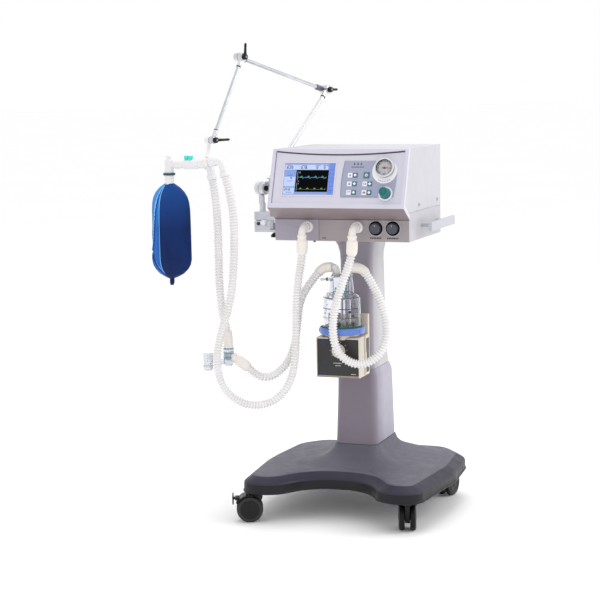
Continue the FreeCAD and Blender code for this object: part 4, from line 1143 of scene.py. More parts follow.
def make_arm():
    """Finishes of the tubes, dark rings at their collars, washers and the levers' grips."""
    for node in ("arm_lower", "arm_middle", "arm_upper"):
        paint("steel", node)
    eased("arm_clamp", 1.2, "clamp")
    eased("hose_clip", 0.8, "fitting")
    for first, second, body, side, r in (("shoulder", "elbow", "arm_lower", 1, 7.6),
                                         ("elbow", "top", "arm_middle", -1, 7.6),
                                         ("top", "wrist", "arm_upper", 1, 6.6)):
        a, b = arm_point(first, side * 7.5), arm_point(second, side * 7.5)
        along = (b - a).normalized()
        ring = [(-1.2, r - 2.0), (-1.2, r), (1.2, r), (1.2, r - 2.0)]
        sleeve = softened([(0, r - 2.2), (0, r - 0.2), (20, r - 0.2), (20, r - 2.2)], 0.5)
        inner, outer = a + along * 31 * MM, b - along * 31 * MM
        for end, collar, start in (("a", inner, a + along * 11 * MM), ("b", outer, outer)):
            lathe_ring(body + "_ring_" + end, collar, along, ring, "ink", body, 32)
            lathe_ring(body + "_sleeve_" + end, start, along, sleeve, "chrome", body, 32)
        if body == "arm_middle":
            wide = softened([(0, 6.2), (0, 8.6), (24, 8.6), (24, 6.2)], 0.6)
            lathe_ring(body + "_dark_sleeve", a + along * 12 * MM, along, wide, "sleeve_dark", body, 32)
    make_knuckle_trim()
    make_levers()


HINGES = [("shoulder", "arm_lower", "root", 19.0), ("elbow", "arm_lower", "arm_middle", 13.0),
          ("top", "arm_upper", "arm_middle", 12.0), ("wrist", "arm_upper", "clip", 10.0)]


def make_knuckle_trim():
    """Bright outer rings, end nuts and the seam of the four hinges."""
    nut = softened([(0.9, 0), (0.9, 6.4), (3.6, 6.2), (4.6, 4.6), (4.6, 0)], 0.5)
    for joint, near, far, r in HINGES:
        ring = softened([(-0.4, r - 5.0), (-0.4, r - 0.6), (1.0, r - 1.2), (1.2, r - 4.4)], 0.4)
        for body, side, place in ((near, 1, "near"), (far, -1, "far")):
            lathe_ring("knuckle_%s_%s" % (joint, place), arm_point(joint, side * 15.0), ACROSS * side, ring,
                       "chrome", body, 48)
        seam = [(-0.9, r - 1.5), (-0.9, r + 0.25), (-0.25, r + 0.25), (-0.25, r - 1.5)]
        lathe_ring("knuckle_%s_seam" % joint, arm_point(joint), -ACROSS, seam, "ink", far, 48)
        lathe("nut_" + joint, arm_point(joint, -15.0), -ACROSS, nut, "zinc", far, 6, None, 20.0)
    cap = softened([(0, 0), (0, 8.2), (2.4, 8.0), (3.2, 6.6), (3.2, 0)], 0.6)
    lathe("shoulder_cap", arm_point("shoulder", 15.0), ACROSS, cap, "black", "arm_lower", 40)


def make_levers():
    """Moulded clamping levers: a hub with a bright screw and a tapering, bent handle."""
    for joint, direction, length in (("elbow", HEADING, 30.0), ("top", UP, 40.0), ("wrist", HEADING, 55.0)):
        body = joint + "_lever"
        face = arm_point(joint, 15.3)
        hub = [(0, 0), (0, 8.0), (1.0, 8.5), (7.0, 8.5), (9.6, 7.4), (10.2, 5.6), (10.2, 0)]
        lathe(body + "_hub", face, ACROSS, softened(hub, 0.7), "black", body, 40,
              lambda angle, t: 1.0 + 0.035 * math.cos(6 * angle))
        screw = [(10.0, 0), (10.0, 3.4), (11.2, 3.0), (11.2, 1.6), (10.4, 1.4), (10.4, 0)]
        lathe(body + "_screw", face, ACROSS, softened(screw, 0.3), "zinc", body, 24)
        start = face + ACROSS * 5.5 * MM
        tip = Vector(direction).normalized()
        points = [start + tip * length * MM * k / 24 + ACROSS * 5.0 * MM * (k / 24) ** 2 * 0.4
                  for k in range(25)]

        def radius(distance, length=length):
            t = distance / (length * MM)
            end = math.sqrt(max(0.02, 1 - max(0.0, (t - 0.9) / 0.1) ** 2))
            return (4.6 - 1.7 * t + 0.5 * math.exp(-((t - 0.85) / 0.14) ** 2)) * MM * end
        grip = sweep(body + "_handle", points, radius, "black", body, 24)
        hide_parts(body)


def make_clamp_knob():
    """Thumb screw of the rail clamp, with a scalloped head."""
    profile = [(0, 0), (0, 9.0), (1.5, 10.0), (7.0, 10.0), (8.4, 8.6), (10.0, 6.0), (12.0, 5.6), (12.0, 0)]
    grip = lathe("clamp_knob_head", vec(-240, -22, 797), UP, softened(profile, 0.7), "black",
                 "clamp_knob", 72,
                 lambda angle, t: 1.0 - 0.09 * (0.5 + 0.5 * math.cos(6 * angle)) if t < 9 else 1.0, 50.0)
    lathe("clamp_knob_screw", vec(-240, -22, 808), UP, [(0, 0), (0, 3.0), (15.4, 3.0), (15.4, 0)], "zinc",
          "clamp_knob", 24)
    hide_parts("clamp_knob")
    head = softened([(0, 0), (0, 5.2), (2.2, 5.0), (2.8, 3.6), (2.8, 0)], 0.5)
    lathe("clamp_side_screw", vec(-281, -42, 838), FORWARD, head, "ink", "root", 24)
    barrel = softened([(0, 0), (0, 8.2), (14, 8.2), (15.5, 7.0), (15.5, 0)], 0.7)
    lathe("clamp_barrel", vec(-262, -42, 842), FORWARD, barrel, "white", "root", 36)


# ---- patient end -------------------------------------------------------------------------
LUNG_X, LUNG_Y = -471, -245
TRAP_X, TRAP_Y = -314, -213


def make_y_piece():
    """Translucent Y: swivel elbow over the lung, stepped tube, hub, two limbs and capped ports."""
    x, y = LUNG_X, LUNG_Y
    riser = [(0, 0), (0, 9.0), (1.5, 11.4), (5, 12.3), (24, 12.5), (27, 12.5), (30, 13.6), (37, 13.6),
             (40, 12.6), (40, 0)]
    first = lathe("y_swivel", vec(x, y, 1036), -UP, softened(riser, 1.2), "limb", "clip", 48)
    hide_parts("y_piece")
    cap = [(-2, 0), (-2, 6.6), (5, 6.4), (6, 7.2), (8.5, 7.2), (10.2, 5.8), (10.4, 0)]
    lathe("y_test_cap", vec(x, y, 1036.5), UP, softened(cap, 0.7), "fitting", "clip", 32)
    main = [(4, 0), (4, 9.8), (20, 9.8), (21, 12.0), (24, 12.4), (33, 12.4), (35, 10.6), (46, 10.8),
            (47, 12.8), (50, 13.4), (80, 13.4), (84, 12.4), (86, 0)]
    lathe("y_main_tube", vec(x, y, 1021), (1, 0, 0), softened(main, 0.9), "limb", "clip", 48)
    front = [vec(*p) for p in ((-396, -249, 1023), (-304, -257.8, 1031.8), (-294, -259, 993))]
    rear = [vec(*p) for p in ((-400, -240, 1021), (-352, -229, 1019), (-346, -229, 983))]
    for name, route, bands in (("y_limb_front", front, ((0.0, 20, 12.6), (60, 74, 12.8))),
                               ("y_limb_rear", rear, ((0.0, 16, 12.8), (34, 42, 13.2)))):
        line = rounded(route, 0.014)

        def radius(distance, bands=bands):
            t = distance / MM
            for low, high, r in bands:
                if low <= t <= high:
                    return r * MM
            return 11.0 * MM
        sweep(name, spaced(line, 0.001), radius, "limb", "clip", 36, 40.0)
    cup = softened([(-4, 0), (-4, 4.6), (2, 4.6), (2.4, 6.8), (5, 7.4), (10, 7.0), (11.4, 5.6),
                    (11.4, 0)], 0.6)
    for i, (cap_x, lean) in enumerate(((-418, 0.25), (-403, -0.05))):
        lathe("y_port_cap_%d" % (i + 1), vec(cap_x, y, 1034.5), (lean, 0, 1), cup, "cyan", "clip", 32)
    strap = [vec(-418 + k * 1.5, y - 4 * math.sin(math.pi * k / 10),
                 1042 + 3.5 * math.sin(math.pi * k / 10))
             for k in range(11)]
    sweep("y_cap_strap", strap, 0.0014, "cyan", "clip", 10)


def rounded(route, reach):
    """A route with its one corner rounded."""
    a, b, c = route
    p, q = b + (a - b).normalized() * reach, b + (c - b).normalized() * reach
    bend = [p * (1 - t) ** 2 + b * 2 * t * (1 - t) + q * t ** 2 for t in (k / 12 for k in range(13))]
    return [a] + bend + [c]


def make_trap():
    """Clear drain body with a blue float, its bottom cap, the side cup and its stepped neck."""
    body = [(0, 0), (0, 10.8), (4, 11.2), (6, 14.6), (10, 15.0), (44, 15.0), (50, 13.6),
            (56, 10.2), (56, 0)]
    first = lathe("trap_body", vec(TRAP_X, TRAP_Y, 500), -UP, softened(body, 1.4), "trap", "root", 48)
    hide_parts("water_trap")
    neck = [(0, 0), (0, 11.0), (10, 11.0), (10, 0)]
    lathe("trap_neck", vec(TRAP_X, TRAP_Y, 508), -UP, neck, "fitting", "root", 40)
    core = [(0, 0), (0, 8.5), (18, 9.5), (22, 6.0), (22, 0)]
    lathe("trap_float", vec(TRAP_X, TRAP_Y, 482), -UP, softened(core, 1.0), "water", "root", 40)
    ribs = [(0, 12.6), (0, 15.8), (2.4, 15.8), (2.4, 12.6)]
    for k, z in enumerate((494, 482, 470)):
        lathe_ring("trap_rib_%d" % k, vec(TRAP_X, TRAP_Y, z), -UP, softened(ribs, 0.5), "water", "root", 48)
    outlet = vec(TRAP_X, TRAP_Y, 478)
    along = vec(-290, -209, 462) - outlet
    stub = [(0, 0), (0, 11.0), (28.8, 11.0), (28.8, 0)]
    lathe("trap_outlet", outlet, along, stub, "fitting", "root", 40)
    middle = vec(TRAP_X, TRAP_Y, 455)
    arm = [(8, 0), (8, 9.0), (20, 8.0), (36, 8.0), (44, 10.0), (44, 0)]
    lathe("trap_bridge", middle, vec(-366, TRAP_Y, 452) - middle, softened(arm, 1.0), "trap", "root", 36)
    cup = [(0, 0), (0, 11.0), (2, 13.0), (5, 13.2), (40, 14.6), (42, 15.4), (47, 15.4), (50, 13.8), (50, 0)]
    foot = vec(-378, TRAP_Y, 427)
    lathe("trap_cup", foot, UP, softened(cup, 0.9), "milky", "root", 48)
    lip = [(12, 12.8), (12, 15.9), (15, 15.9), (15, 12.8)]
    lathe_ring("trap_cup_band", foot, UP, softened(lip, 0.5), "milky", "root", 48)


LUNG_SHAPE = [(0.0, 0.12, 0.30), (0.015, 0.30, 0.42), (0.048, 0.585, 0.62), (0.096, 0.815, 0.80),
              (0.144, 0.945, 0.92), (0.20, 1.0, 1.0), (0.45, 0.995, 1.02), (0.62, 0.99, 1.0),
              (0.727, 0.98, 0.96), (0.804, 0.94, 0.90), (0.861, 0.86, 0.82), (0.909, 0.73, 0.70),
              (0.957, 0.52, 0.54), (0.985, 0.33, 0.44), (1.0, 0.22, 0.40)]
LUNG_WIDE, LUNG_DEEP = 62.0, 33.0
LUNG_LOW, LUNG_HIGH = 696.0, 968.0
SEAM_FRONT, SEAM_BACK, SEAM_RIGHT, SEAM_HIDDEN = 252.0, 158.0, 352.0, 55.0
FOLD_HIGH, FOLD_FALL = 0.55, 0.52
# slots of the left panel: painted light, painted highlight, painted shade
LIT_PANEL, RIDGE_HIGHLIGHT, CREASE_SHADE = 1, 2, 3


def lung_share(v):
    """Width and depth of the bag, as shares of its greatest, at a height share from tail to neck."""
    for low, high in zip(LUNG_SHAPE, LUNG_SHAPE[1:]):
        if v <= high[0]:
            s = (v - low[0]) / (high[0] - low[0])
            return [low[k] + (high[k] - low[k]) * s for k in (1, 2)]
    return LUNG_SHAPE[-1][1:]


def turn_between(angle, first, second):
    """Share of the way from one seam to another, or None outside them."""
    share = (angle - first) / (second - first)
    return share if 0 <= share <= 1 else None


def bag_section(angle, v):
    """Outline of the bag at one height in mm: pressed seams, a caved-in left panel and full others."""
    wide, deep = lung_share(v)
    a = math.radians(angle)
    x, y = LUNG_WIDE * wide * math.cos(a), LUNG_DEEP * deep * math.sin(a)
    body = math.sin(math.pi * min(1.0, max(0.0, v))) ** 0.6
    inward = 0.0
    for seam in (SEAM_FRONT, SEAM_BACK, SEAM_RIGHT, SEAM_HIDDEN):
        gap = abs((angle - seam + 180) % 360 - 180)
        inward -= 2.2 * math.exp(-(gap / 2.2) ** 2) * body
        inward += 1.3 * math.exp(-((gap - 6.5) / 4.5) ** 2) * body
    side = turn_between(angle, SEAM_BACK, SEAM_FRONT)
    if side is not None:
        inward += side_fold(side, v) * body
    return x * (1 - inward / LUNG_WIDE), y * (1 - inward / LUNG_DEEP * 0.8)


def side_fold(side, v):
    """Depth in mm of the slack left panel: a long valley, and one crease that crosses it near the foot."""
    valley = 7.5 * math.sin(math.pi * side) ** 1.5
    ridge = 5.0 * math.exp(-((side - ridge_place(v)) / 0.07) ** 2)
    cross = fold_distance(side, v)
    fold = 5.0 * math.exp(-((cross + 0.01) / 0.022) ** 2) - 1.5 * math.exp(-((cross - 0.05) / 0.03) ** 2)
    return valley - ridge + fold * math.sin(math.pi * side) ** 0.5


def bag_mesh():
    """Rings of the bag, and the faces of its left panel on finishes of their own: painted light, painted
    highlight and painted shade.
    """
    around, up = 180, 110
    bm = bmesh.new()
    rings = []
    for k in range(up + 1):
        v = k / up
        ring = []
        for i in range(around):
            x, y = bag_section(360.0 * i / around, v)
            z = LUNG_LOW + (LUNG_HIGH - LUNG_LOW) * v
            ring.append(bm.verts.new(vec(LUNG_X + x, LUNG_Y + y, z)))
        rings.append(ring)
    skin(bm, rings)
    bm.faces.ensure_lookup_table()
    for index in range(around * up):
        side = turn_between(360.0 * (index % around + 0.5) / around, SEAM_BACK, SEAM_FRONT)
        if side is not None:
            bm.faces[index].material_index = side_light_slot(side, (index // around + 0.5) / up)
    return mesh_of(bm, "lung_bag")


def side_light_slot(side, v):
    """Slot of the left panel's painted light at a place on it: painted shade in the creases, painted
    highlight on the ridges and beside the front seam, a lit blue elsewhere.
    """
    cross = fold_distance(side, v)
    if -0.06 < cross < 0.018:
        return CREASE_SHADE
    if 0.018 <= cross < 0.034:
        return RIDGE_HIGHLIGHT
    from_ridge = side - ridge_place(v)
    if side > 0.96 or (abs(from_ridge) < 0.03 and cross > 0):
        return RIDGE_HIGHLIGHT
    return CREASE_SHADE if 0.03 < from_ridge < 0.075 and cross > 0 else LIT_PANEL


def fold_distance(side, v):
    """Height share above the crease that crosses the left panel."""
    return v - FOLD_HIGH + FOLD_FALL * side


def ridge_place(v):
    """How far round the left panel its ridge lies at a height."""
    return 0.5 + 0.4 * max(0.0, (v - 0.29) / 0.66) ** 0.7


def make_lung():
    """The rubber bag with a caved-in left panel, its tail, neck and ring."""
    piece = add_piece("lung_bag", bag_mesh(), "bag", "clip", 80.0)
    # lit, highlight and shade copies of the rubber, painted onto the left panel
    for finish in ("bag_side_lit", "bag_ridge_highlight", "bag_crease_shade"):
        piece.data.materials.append(FINISH[finish])
    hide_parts("test_lung")
    tail = [vec(LUNG_X + 0.6 * math.sin(k / 3), LUNG_Y, 700 - k * 1.9) for k in range(13)]

    def thin(distance):
        return (8.0 - 1.2 * min(1.0, distance / 0.006)) * MM * (1.0 if distance < 0.018 else 0.8)
    sweep("lung_tail", tail, thin, "bag", "clip", 28)
    neck = [(0, 0), (0, 13.6), (3, 13.8), (6, 13.2), (9, 13.6), (12, 13.2), (15, 13.7), (24, 13.4),
            (27, 14.2), (27, 0)]
    lathe("lung_neck", vec(LUNG_X, LUNG_Y, 992), -UP, softened(neck, 0.6), "fitting", "clip", 48)
    ring = [(-1.5, 12.8), (-1.5, 17.0), (0, 17.6), (4.2, 17.6), (5.2, 16.6), (5.2, 12.8)]
    lathe_ring("lung_ring", vec(LUNG_X, LUNG_Y, 996), -UP, softened(ring, 0.8), "teal_ring", "clip", 56)


# ---- humidifier --------------------------------------------------------------------------
HUM_X, POT_Y = -6.0, -104.0
CHAMBER_FOOT = 532.0
DIAL_X, DIAL_HEIGHT = -2.0, 489.0


def make_humidifier():
    # the case's downward faces take a darker finish, painted shade for the light they miss from below
    retone(eased("humidifier_case", 2.4, "hum_case", 3), "hum_underside_shade", lambda n: n.z < -0.2)
    paint("heater", "heater_plate")
    outline = [(-66.5, 417), (55, 417), (57, 419), (57, 520), (55, 522), (-65.5, 522), (-66.5, 520)]
    polygons("humidifier_panel", [outline], on_front(-150), "hum_panel", "root", 0.5)
    blue = [rect(-56 + k * 3.0, -54 + k * 3.0, 509, 512) for k in range(7)]
    blue += [rect(-53 + k * 3.0, -51.2 + k * 3.0, 502, 505) for k in range(4)]
    blue += [rect(-52 + k * 3.2, -50 + k * 3.2, 452, 454) for k in range(5)]
    blue += [rect(-60 + k * 3.4, -57.6 + k * 3.4, 423, 426) for k in range(6)]
    polygons("humidifier_blue_marks", blue, on_front(-150.5), "ink_blue", "root", 0.15)
    pale = [rect(-18 + k * 3.2, -15.6 + k * 3.2, 452, 454) for k in range(8)]
    pale += [rect(-12 + k * 3.2, -9.8 + k * 3.2, 445, 447) for k in range(5)]
    pale += [rect(34 + k * 3.0, 36.2 + k * 3.0, 421.5, 423.5) for k in range(5)]
    for k in range(8):
        a = math.radians(215 - 35 * k)
        ends = [(DIAL_X + r * math.cos(a), DIAL_HEIGHT + r * math.sin(a)) for r in (24, 26.5)]
        pale.append(bar(*ends[0], *ends[1], 1.4))
    polygons("humidifier_pale_marks", pale, on_front(-150.5), "ink_white", "root", 0.15)
    make_dial()
    make_chamber()
    side = block("humidifier_side_panel", (56.5, -96, 418), (58.2, -54, 516), "hum_panel", "root", 0.8)
    block("humidifier_tab", (57, -92, 452), (60.5, -86, 478), "white", "root", 1.0)
    foot = softened([(0, 0), (0, 6.5), (3, 6.5), (4, 5.0), (4, 0)], 0.5)
    for i, x in enumerate((-50, 40)):
        lathe("humidifier_foot_%d" % i, vec(x, -70, 411), -UP, foot, "black", "root", 24)


def make_dial():
    profile = [(0, 0), (0, 20.0), (2.0, 20.4), (4.5, 19.4), (6.0, 15.4), (14.0, 14.4), (15.2, 12.8),
               (15.2, 0)]
    dial = lathe("humidifier_dial_grip", vec(DIAL_X, -151.5, DIAL_HEIGHT), FORWARD,
                 softened(profile, 0.8), "hum_case", "humidifier_dial", 96,
                 lambda angle, t: 1.0 - (0.05 * (0.5 + 0.5 * math.cos(16 * angle)) if t > 5.5 else 0.0),
                 50.0)
    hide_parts("humidifier_dial")
    mark = bar(DIAL_X, DIAL_HEIGHT + 5, DIAL_X, DIAL_HEIGHT + 12.5, 1.6)
    polygons("humidifier_dial_mark", [mark], on_front(-166.7), "ink", "humidifier_dial", 0.25)


def make_chamber():
    """Glass chamber with its metal base, gasket, printed lines, float tubes and tower."""
    base = vec(HUM_X, POT_Y, CHAMBER_FOOT)
    pan = [(0.3, 0), (0.3, 52.6), (1.5, 53.0), (16, 53.0), (17, 52.0), (17, 0)]
    first = lathe("chamber_pan", base, UP, softened(pan, 0.8), "steel", "root", 72)
    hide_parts("water_chamber")
    seal = [(17, 40), (17, 56.8), (18.5, 57.5), (22, 57.5), (23.4, 56.4), (23.4, 40)]
    lathe_ring("chamber_gasket", base, UP, softened(seal, 0.8), "gasket", "root", 72)
    wall = [(23.4, 51.4), (23.4, 53.8), (60, 54.0), (104, 52.8), (111, 50.0), (117, 42.0), (118, 37.0),
            (150, 33.6), (166, 31.6), (168, 29.0), (168, 0), (165.6, 0), (165.6, 28.0), (150, 31.2),
            (118, 34.6), (114, 40.6), (108, 47.6), (102, 50.4), (60, 51.6)]
    lathe_ring("chamber_glass", base, UP, wall, "glass", "root", 72)
    for k, (z, r, start, end, height) in enumerate(((75, 54.25, 200, 345, 2.2), (49, 54.2, 190, 350, 1.3),
                                                    (106, 52.6, 150, 380, 1.5))):
        band_arc("chamber_line_%d" % k, z, r, start, end, height)
    arc_marks("chamber_marks", [(318, 82, 5, 3), (312, 64, 9, 7), (330, 88, 6, 3), (226, 60, 5, 5),
                                (232, 70, 4, 3), (322, 54, 7, 4), (238, 86, 3, 4)], 54.3)
    for i, (x, y, r, top) in enumerate(((-24, -100, 5.0, 158), (6, -112, 6.0, 160), (18, -92, 4.0, 150))):
        tube = softened([(18, 0), (18, r), (top - 2, r), (top, r - 1.5), (top, 0)], 0.8)
        lathe("chamber_tube_%d" % i, vec(HUM_X + x, y, CHAMBER_FOOT), UP, tube, "glass", "root", 32)
    float_disc = softened([(0, 0), (0, 18), (2, 20), (6, 20), (8, 17), (8, 0)], 0.8)
    lathe("chamber_float", vec(HUM_X - 14, POT_Y, 566), UP, float_disc, "milky", "root", 48)
    baffle = softened([(0, 0), (0, 46), (1.6, 46.4), (2.4, 45), (2.4, 0)], 0.5)
    lathe("chamber_baffle", vec(HUM_X, POT_Y, 634), UP, baffle, "milky", "root", 64)
    make_chamber_clips()
    make_chamber_ports()
    guard_shape()


def make_chamber_clips():
    """Teal catches round the neck of the chamber."""
    for i, (dx, dy, w) in enumerate(((-8, -40, 9), (10, -42, 6), (22, -37, 7))):
        x, y = HUM_X + dx, POT_Y + dy
        block("chamber_clip_%d" % i, (x - w / 2, y - 2, 651), (x + w / 2, y + 3, 658), "teal_clip",
              "root", 1.2)
    block("chamber_clip_stem", (HUM_X - 8, POT_Y - 40, 655), (HUM_X - 3, POT_Y - 36, 669), "teal_clip",
          "root", 1.2)


def make_chamber_ports():
    """The two elbows on the tower, and the feed spout on its left."""
    ring = softened([(0, 10), (0, 13.4), (4, 13.4), (5, 12.4), (5, 10)], 0.6)
    for x, side, tag in ((-22, -1, "left"), (14, 1, "right")):
        route = rounded([vec(x, POT_Y, 694), vec(x, POT_Y, 722), vec(x + side * 18, POT_Y, 722)], 0.013)
        sweep("chamber_elbow_" + tag, spaced(route, 0.0012), 0.011, "glass_thick", "root", 40)
        lathe_ring("chamber_elbow_ring_" + tag, vec(x, POT_Y, 699), UP, ring, "glass_thick", "root", 40)
    spout, outward_left = vec(HUM_X - 29, POT_Y, 688), (-1, 0, -0.06)
    feed = softened([(0, 0), (0, 4.4), (10, 4.4), (11, 3.4), (26, 3.2), (34, 4.0), (34, 0)], 0.5)
    lathe("chamber_feed", spout, outward_left, feed, "fitting", "root", 28)
    band = softened([(12, 3.0), (12, 4.9), (17, 4.9), (17, 3.0)], 0.4)
    lathe_ring("chamber_feed_band", spout, outward_left, band, "gasket", "root", 32)


def band_arc(name, z, radius, start, end, height):
    """A printed line round part of the chamber."""
    bm = bmesh.new()
    rings = []
    for k in range(49):
        out = polar(start + (end - start) * k / 48)
        centre = vec(HUM_X, POT_Y, CHAMBER_FOOT + z)
        corners = ((radius, 0), (radius + 0.2, 0), (radius + 0.2, height), (radius, height))
        rings.append([bm.verts.new(centre + out * r * MM + UP * h * MM) for r, h in corners])
    skin(bm, rings)
    add_piece(name, mesh_of(bm, name), "ink", "root")


def arc_marks(name, marks, radius):
    """Small printed marks on the chamber: (angle, height, width, tallness)."""
    bm = bmesh.new()
    centre = vec(HUM_X, POT_Y, CHAMBER_FOOT)
    for angle, z, w, h in marks:
        half = math.degrees(w / 2 / radius)
        corners = rect(angle - half, angle + half, z, z + h)
        skin(bm, [[bm.verts.new(centre + polar(a) * r * MM + UP * up * MM) for a, up in corners]
                  for r in (radius, radius + 0.2)])
    add_piece(name, mesh_of(bm, name), "ink", "root")


def guard_shape():
    """The blue finger guard: a rounded band round the front of the chamber, with two studs."""
    bm = bmesh.new()
    rings = []
    centre = vec(HUM_X, POT_Y, 0)
    section = [(60.6, 535.5), (61.6, 534.2), (64.0, 534.2), (65.0, 535.6), (65.0, 551.2), (64.0, 552.8),
               (61.6, 552.8), (60.6, 551.5)]
    for k in range(61):
        out = polar(162 + 216 * k / 60)
        rings.append([bm.verts.new(centre + out * r * MM + UP * z * MM) for r, z in section])
    skin(bm, rings)
    piece = add_piece("guard_band", mesh_of(bm, "guard_band"), "guard", "guard_ring", 50.0)
    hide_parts("guard_ring")
    stud = softened([(-0.2, 0), (-0.2, 5.2), (1.0, 5.0), (1.6, 3.8), (1.6, 0)], 0.4)
    for i, angle in enumerate((200, 340)):
        out = polar(angle)
        lathe("guard_stud_%d" % i, vec(HUM_X, POT_Y, 543) + out * 65.0 * MM, out, stud, "guard",
              "guard_ring", 28)


# ---- trolley -----------------------------------------------------------------------------
BASE_CORNERS = [(80, -156, 130), (158, -278, 80), (262, -278, 58), (292, 20, 260), (276, 214, 95),
                (204, 302, 95)]
BASE_WALL = [(6.0, 113), (5.0, 88.0), (4.0, 87.1), (-1.6, 87.1), (-2.4, 88.0), (-2.4, 91.2), (-1.6, 92.0),
             (-0.4, 92.5), (0.0, 93.6), (0.0, 110.5), (0.4, 113.6), (1.8, 116.6), (4.8, 119.4),
             (24.0, 131.0),
             (28.0, 133.2), (32.5, 134.7), (38.0, 135.2)]
RIM_RINGS, BEVEL_RINGS = 10, 14
BASE_CROWN = [(135.8, 206, -106, 262, 120), (138.5, 183, -99, 257, 102), (142, 158, -91, 251, 84),
              (146, 131, -80, 244, 64), (150, 113, -68, 234, 50), (155.5, 97, -53, 221, 41),
              (164, 83, -37, 206.5, 35), (175, 72.5, -24.5, 196.5, 28), (184, 69, -19.5, 192.5, 25.5),
              (189.8, 67, -17, 191, 24)]
BASE_MIDDLE = Vector((0, 80, 0))


def rounded_outline(corners, gap):
    """Points a steady gap apart round a closed outline in mm whose corners are arcs."""
    line = []
    for i, (x, y, r) in enumerate(corners):
        here = Vector((x, y, 0))
        back = (Vector((*corners[i - 1][:2], 0)) - here).normalized()
        ahead = (Vector((*corners[(i + 1) % len(corners)][:2], 0)) - here).normalized()
        turn = math.pi - back.angle(ahead)
        centre = here + (back + ahead).normalized() * r / math.cos(turn / 2)
        reach = r * math.tan(turn / 2)
        start, end = here + back * reach - centre, here + ahead * reach - centre
        sign = 1 if start.cross(end).z > 0 else -1
        first = math.atan2(start.y, start.x)
        for k in range(25):
            a = first + sign * turn * k / 24
            line.append(centre + Vector((math.cos(a), math.sin(a), 0)) * r)
    return spaced(line + [line[0]], gap)[:-1]


def outward(line):
    """Unit vectors pointing out of a closed outline that runs anticlockwise."""
    out = []
    for i in range(len(line)):
        along = line[(i + 1) % len(line)] - line[i - 1]
        out.append(Vector((along.y, -along.x, 0)).normalized())
    return out


def evened(line, passes):
    """A closed line with its bends relaxed a little in each pass."""
    for _ in range(passes):
        line = [(a + b * 2 + c) / 4 for a, b, c in zip(line[-1:] + line, line, line[1:] + line[:1])]
    return line


def on_section(direction, half, front, rear, radius):
    """Where a ray from the middle of the base meets a rounded rectangle."""
    middle, reach_x, reach_y = (front + rear) / 2, half - radius, (rear - front) / 2 - radius
    near, far = 0.0, 400.0
    for _ in range(22):
        t = (near + far) / 2
        x, y = direction.x * t, BASE_MIDDLE.y + direction.y * t - middle
        outside = math.hypot(max(abs(x) - reach_x, 0), max(abs(y) - reach_y, 0)) > radius
        near, far = (near, t) if outside else (t, far)
    return BASE_MIDDLE + direction * near


def make_base():
    """Moulded base: an even rim and bevel all round, and a low crown that flares up to the column."""
    corners = BASE_CORNERS + [(-x, y, r) for x, y, r in reversed(BASE_CORNERS)]
    line = rounded_outline(corners, 4.0)
    out = outward(line)
    shapes = [[(p, z) for p in evened([p - n * inset for p, n in zip(line, out)], round(inset / 2))]
              for inset, z in BASE_WALL]
    rays = [(p - BASE_MIDDLE).normalized() for p in line]
    for z, half, front, rear, radius in BASE_CROWN:
        shapes.append([(on_section(ray, half, front, rear, radius), z) for ray in rays])
    bm = bmesh.new()
    rings = [[bm.verts.new(vec(p.x, p.y, z)) for p, z in shape] for shape in shapes]
    skin(bm, rings)
    bm.faces.ensure_lookup_table()
    # rim rings take the darkest finish and bevel rings a darker one: painted shade on the faces turned away
    # from the light
    for index in range(len(line) * (len(rings) - 1)):
        ring = index // len(line)
        bm.faces[index].material_index = (ring < RIM_RINGS) + (ring < BEVEL_RINGS)
    piece = add_piece("base_shell", mesh_of(bm, "base_shell"), "base", "root", 50.0)
    for finish in ("base_bevel_shade", "base_rim_shade"):
        piece.data.materials.append(FINISH[finish])
    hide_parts("base_cover")


def make_trolley():
    make_base()
    paint("zinc", "base_frame", "column_post")
    eased("column_lower_cover", 1.2, "column_low", 3)
    eased("column_upper_cover", 1.0, "column", 3)
    for corner in ("front_left", "front_right"):
        eased("castor_brake_" + corner, 1.4, "black", 2)
    make_wheels()


CASTORS = {"front_left": (-222, -236, 201.9), "front_right": (222, -236, 106.5),
           "rear_left": (-222, 236, 20.0), "rear_right": (222, 236, 258.0)}
TYRE = [(0, 0), (0, 32.0), (1.4, 35.6), (4.4, 37.6), (8.4, 38.0), (12.4, 37.6), (15.4, 35.6), (16.8, 32.0),
        (16.8, 29.4), (16.2, 28.6), (16.2, 0)]
HUB = [(-0.2, 0), (-0.2, 27.4), (0.8, 27.2), (0.9, 23.0), (0.2, 21.8), (0.2, 11.0), (1.0, 9.6),
       (1.4, 5.0), (1.4, 0)]
AXLE_HEIGHT, CASTOR_TRAIL = 38, 25
FORK_WEB = [(-12, 78), (-12, 70), (-4, 52), (4, 32), (14, 22), (27, 20), (38, 24), (43, 34), (41, 50),
            (33, 64), (20, 75), (14, 78)]


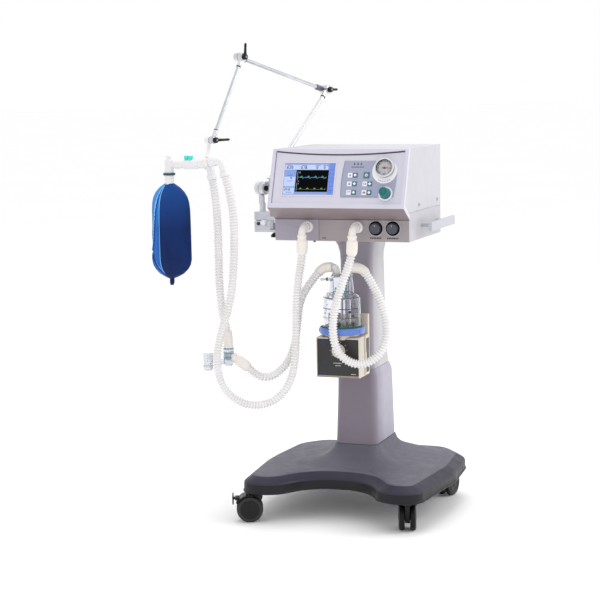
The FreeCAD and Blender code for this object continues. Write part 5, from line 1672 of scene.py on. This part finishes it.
def make_fork(corner, stem, along, across):
    """The hood over the wheels' far side, the web between the wheels and the stem's collar."""
    node = "castor_fork_" + corner
    hood = eased(node, 1.2, "castor", 2)
    bm = bmesh.new()
    bm.from_mesh(hood.data)
    for place, away in ((stem + along * 14 * MM, -along), (vec(0, 0, 31), -UP)):
        bmesh.ops.bisect_plane(bm, geom=bm.verts[:] + bm.edges[:] + bm.faces[:], plane_co=place,
                               plane_no=away, clear_outer=True)
        bmesh.ops.holes_fill(bm, edges=[e for e in bm.edges if e.is_boundary])
    bm.to_mesh(hood.data)
    bm.free()
    bm = bmesh.new()
    sides = [[bm.verts.new(stem + along * s * MM + UP * z * MM + across * w * MM) for s, z in FORK_WEB]
             for w in (-6.8, 6.8)]
    skin(bm, sides)
    bmesh.ops.bevel(bm, geom=bm.edges[:], offset=1.0 * MM, segments=2, profile=0.5, affect="EDGES",
                    clamp_overlap=True)
    add_piece("fork_web_" + corner, mesh_of(bm, "fork_web"), "castor", hood["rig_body"])
    collar = softened([(0, 0), (0, 13.0), (9.6, 14.5), (10.4, 14.5), (10.4, 0)], 0.8)
    lathe("fork_collar_" + corner, stem + UP * 77 * MM, UP, collar, "castor", hood["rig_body"], 40)


def make_wheels():
    """Two round-shouldered tyres on each castor, with dished hub covers outside them."""
    for corner, (x, y, heading) in CASTORS.items():
        along, across = polar(heading), polar(heading + 90)
        make_fork(corner, vec(x, y, 0), along, across)
        centre = vec(x, y, AXLE_HEIGHT) + along * CASTOR_TRAIL * MM
        for side, tag in ((-1, "a"), (1, "b")):
            out = across * side
            name, body = "%s_%s" % (corner, tag), "wheels_" + corner
            tyre = lathe("tyre_" + name, centre + out * 7.6 * MM, out, softened(TYRE, 1.2), "tyre",
                         body, 72)
            # the outward faces of each tyre take a lighter finish, a painted highlight on the shoulders
            retone(tyre, "tyre_side_highlight", lambda n, out=out: n.dot(out) > 0.55)
            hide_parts("castor_wheels_" + corner)
            lathe("hub_" + name, centre + out * 24.0 * MM, out, softened(HUB, 0.5), "castor", body, 56)


# ---- the whole scene ---------------------------------------------------------------------
make_camera()
make_light()
make_stage()
make_circuit_hoses()
make_case()
make_display()
make_keypad()
make_gauge()
make_pressure_knob()
make_front_knobs()
make_ports()
make_arm()
make_clamp_knob()
make_y_piece()
make_trap()
make_lung()
make_humidifier()
make_trolley()
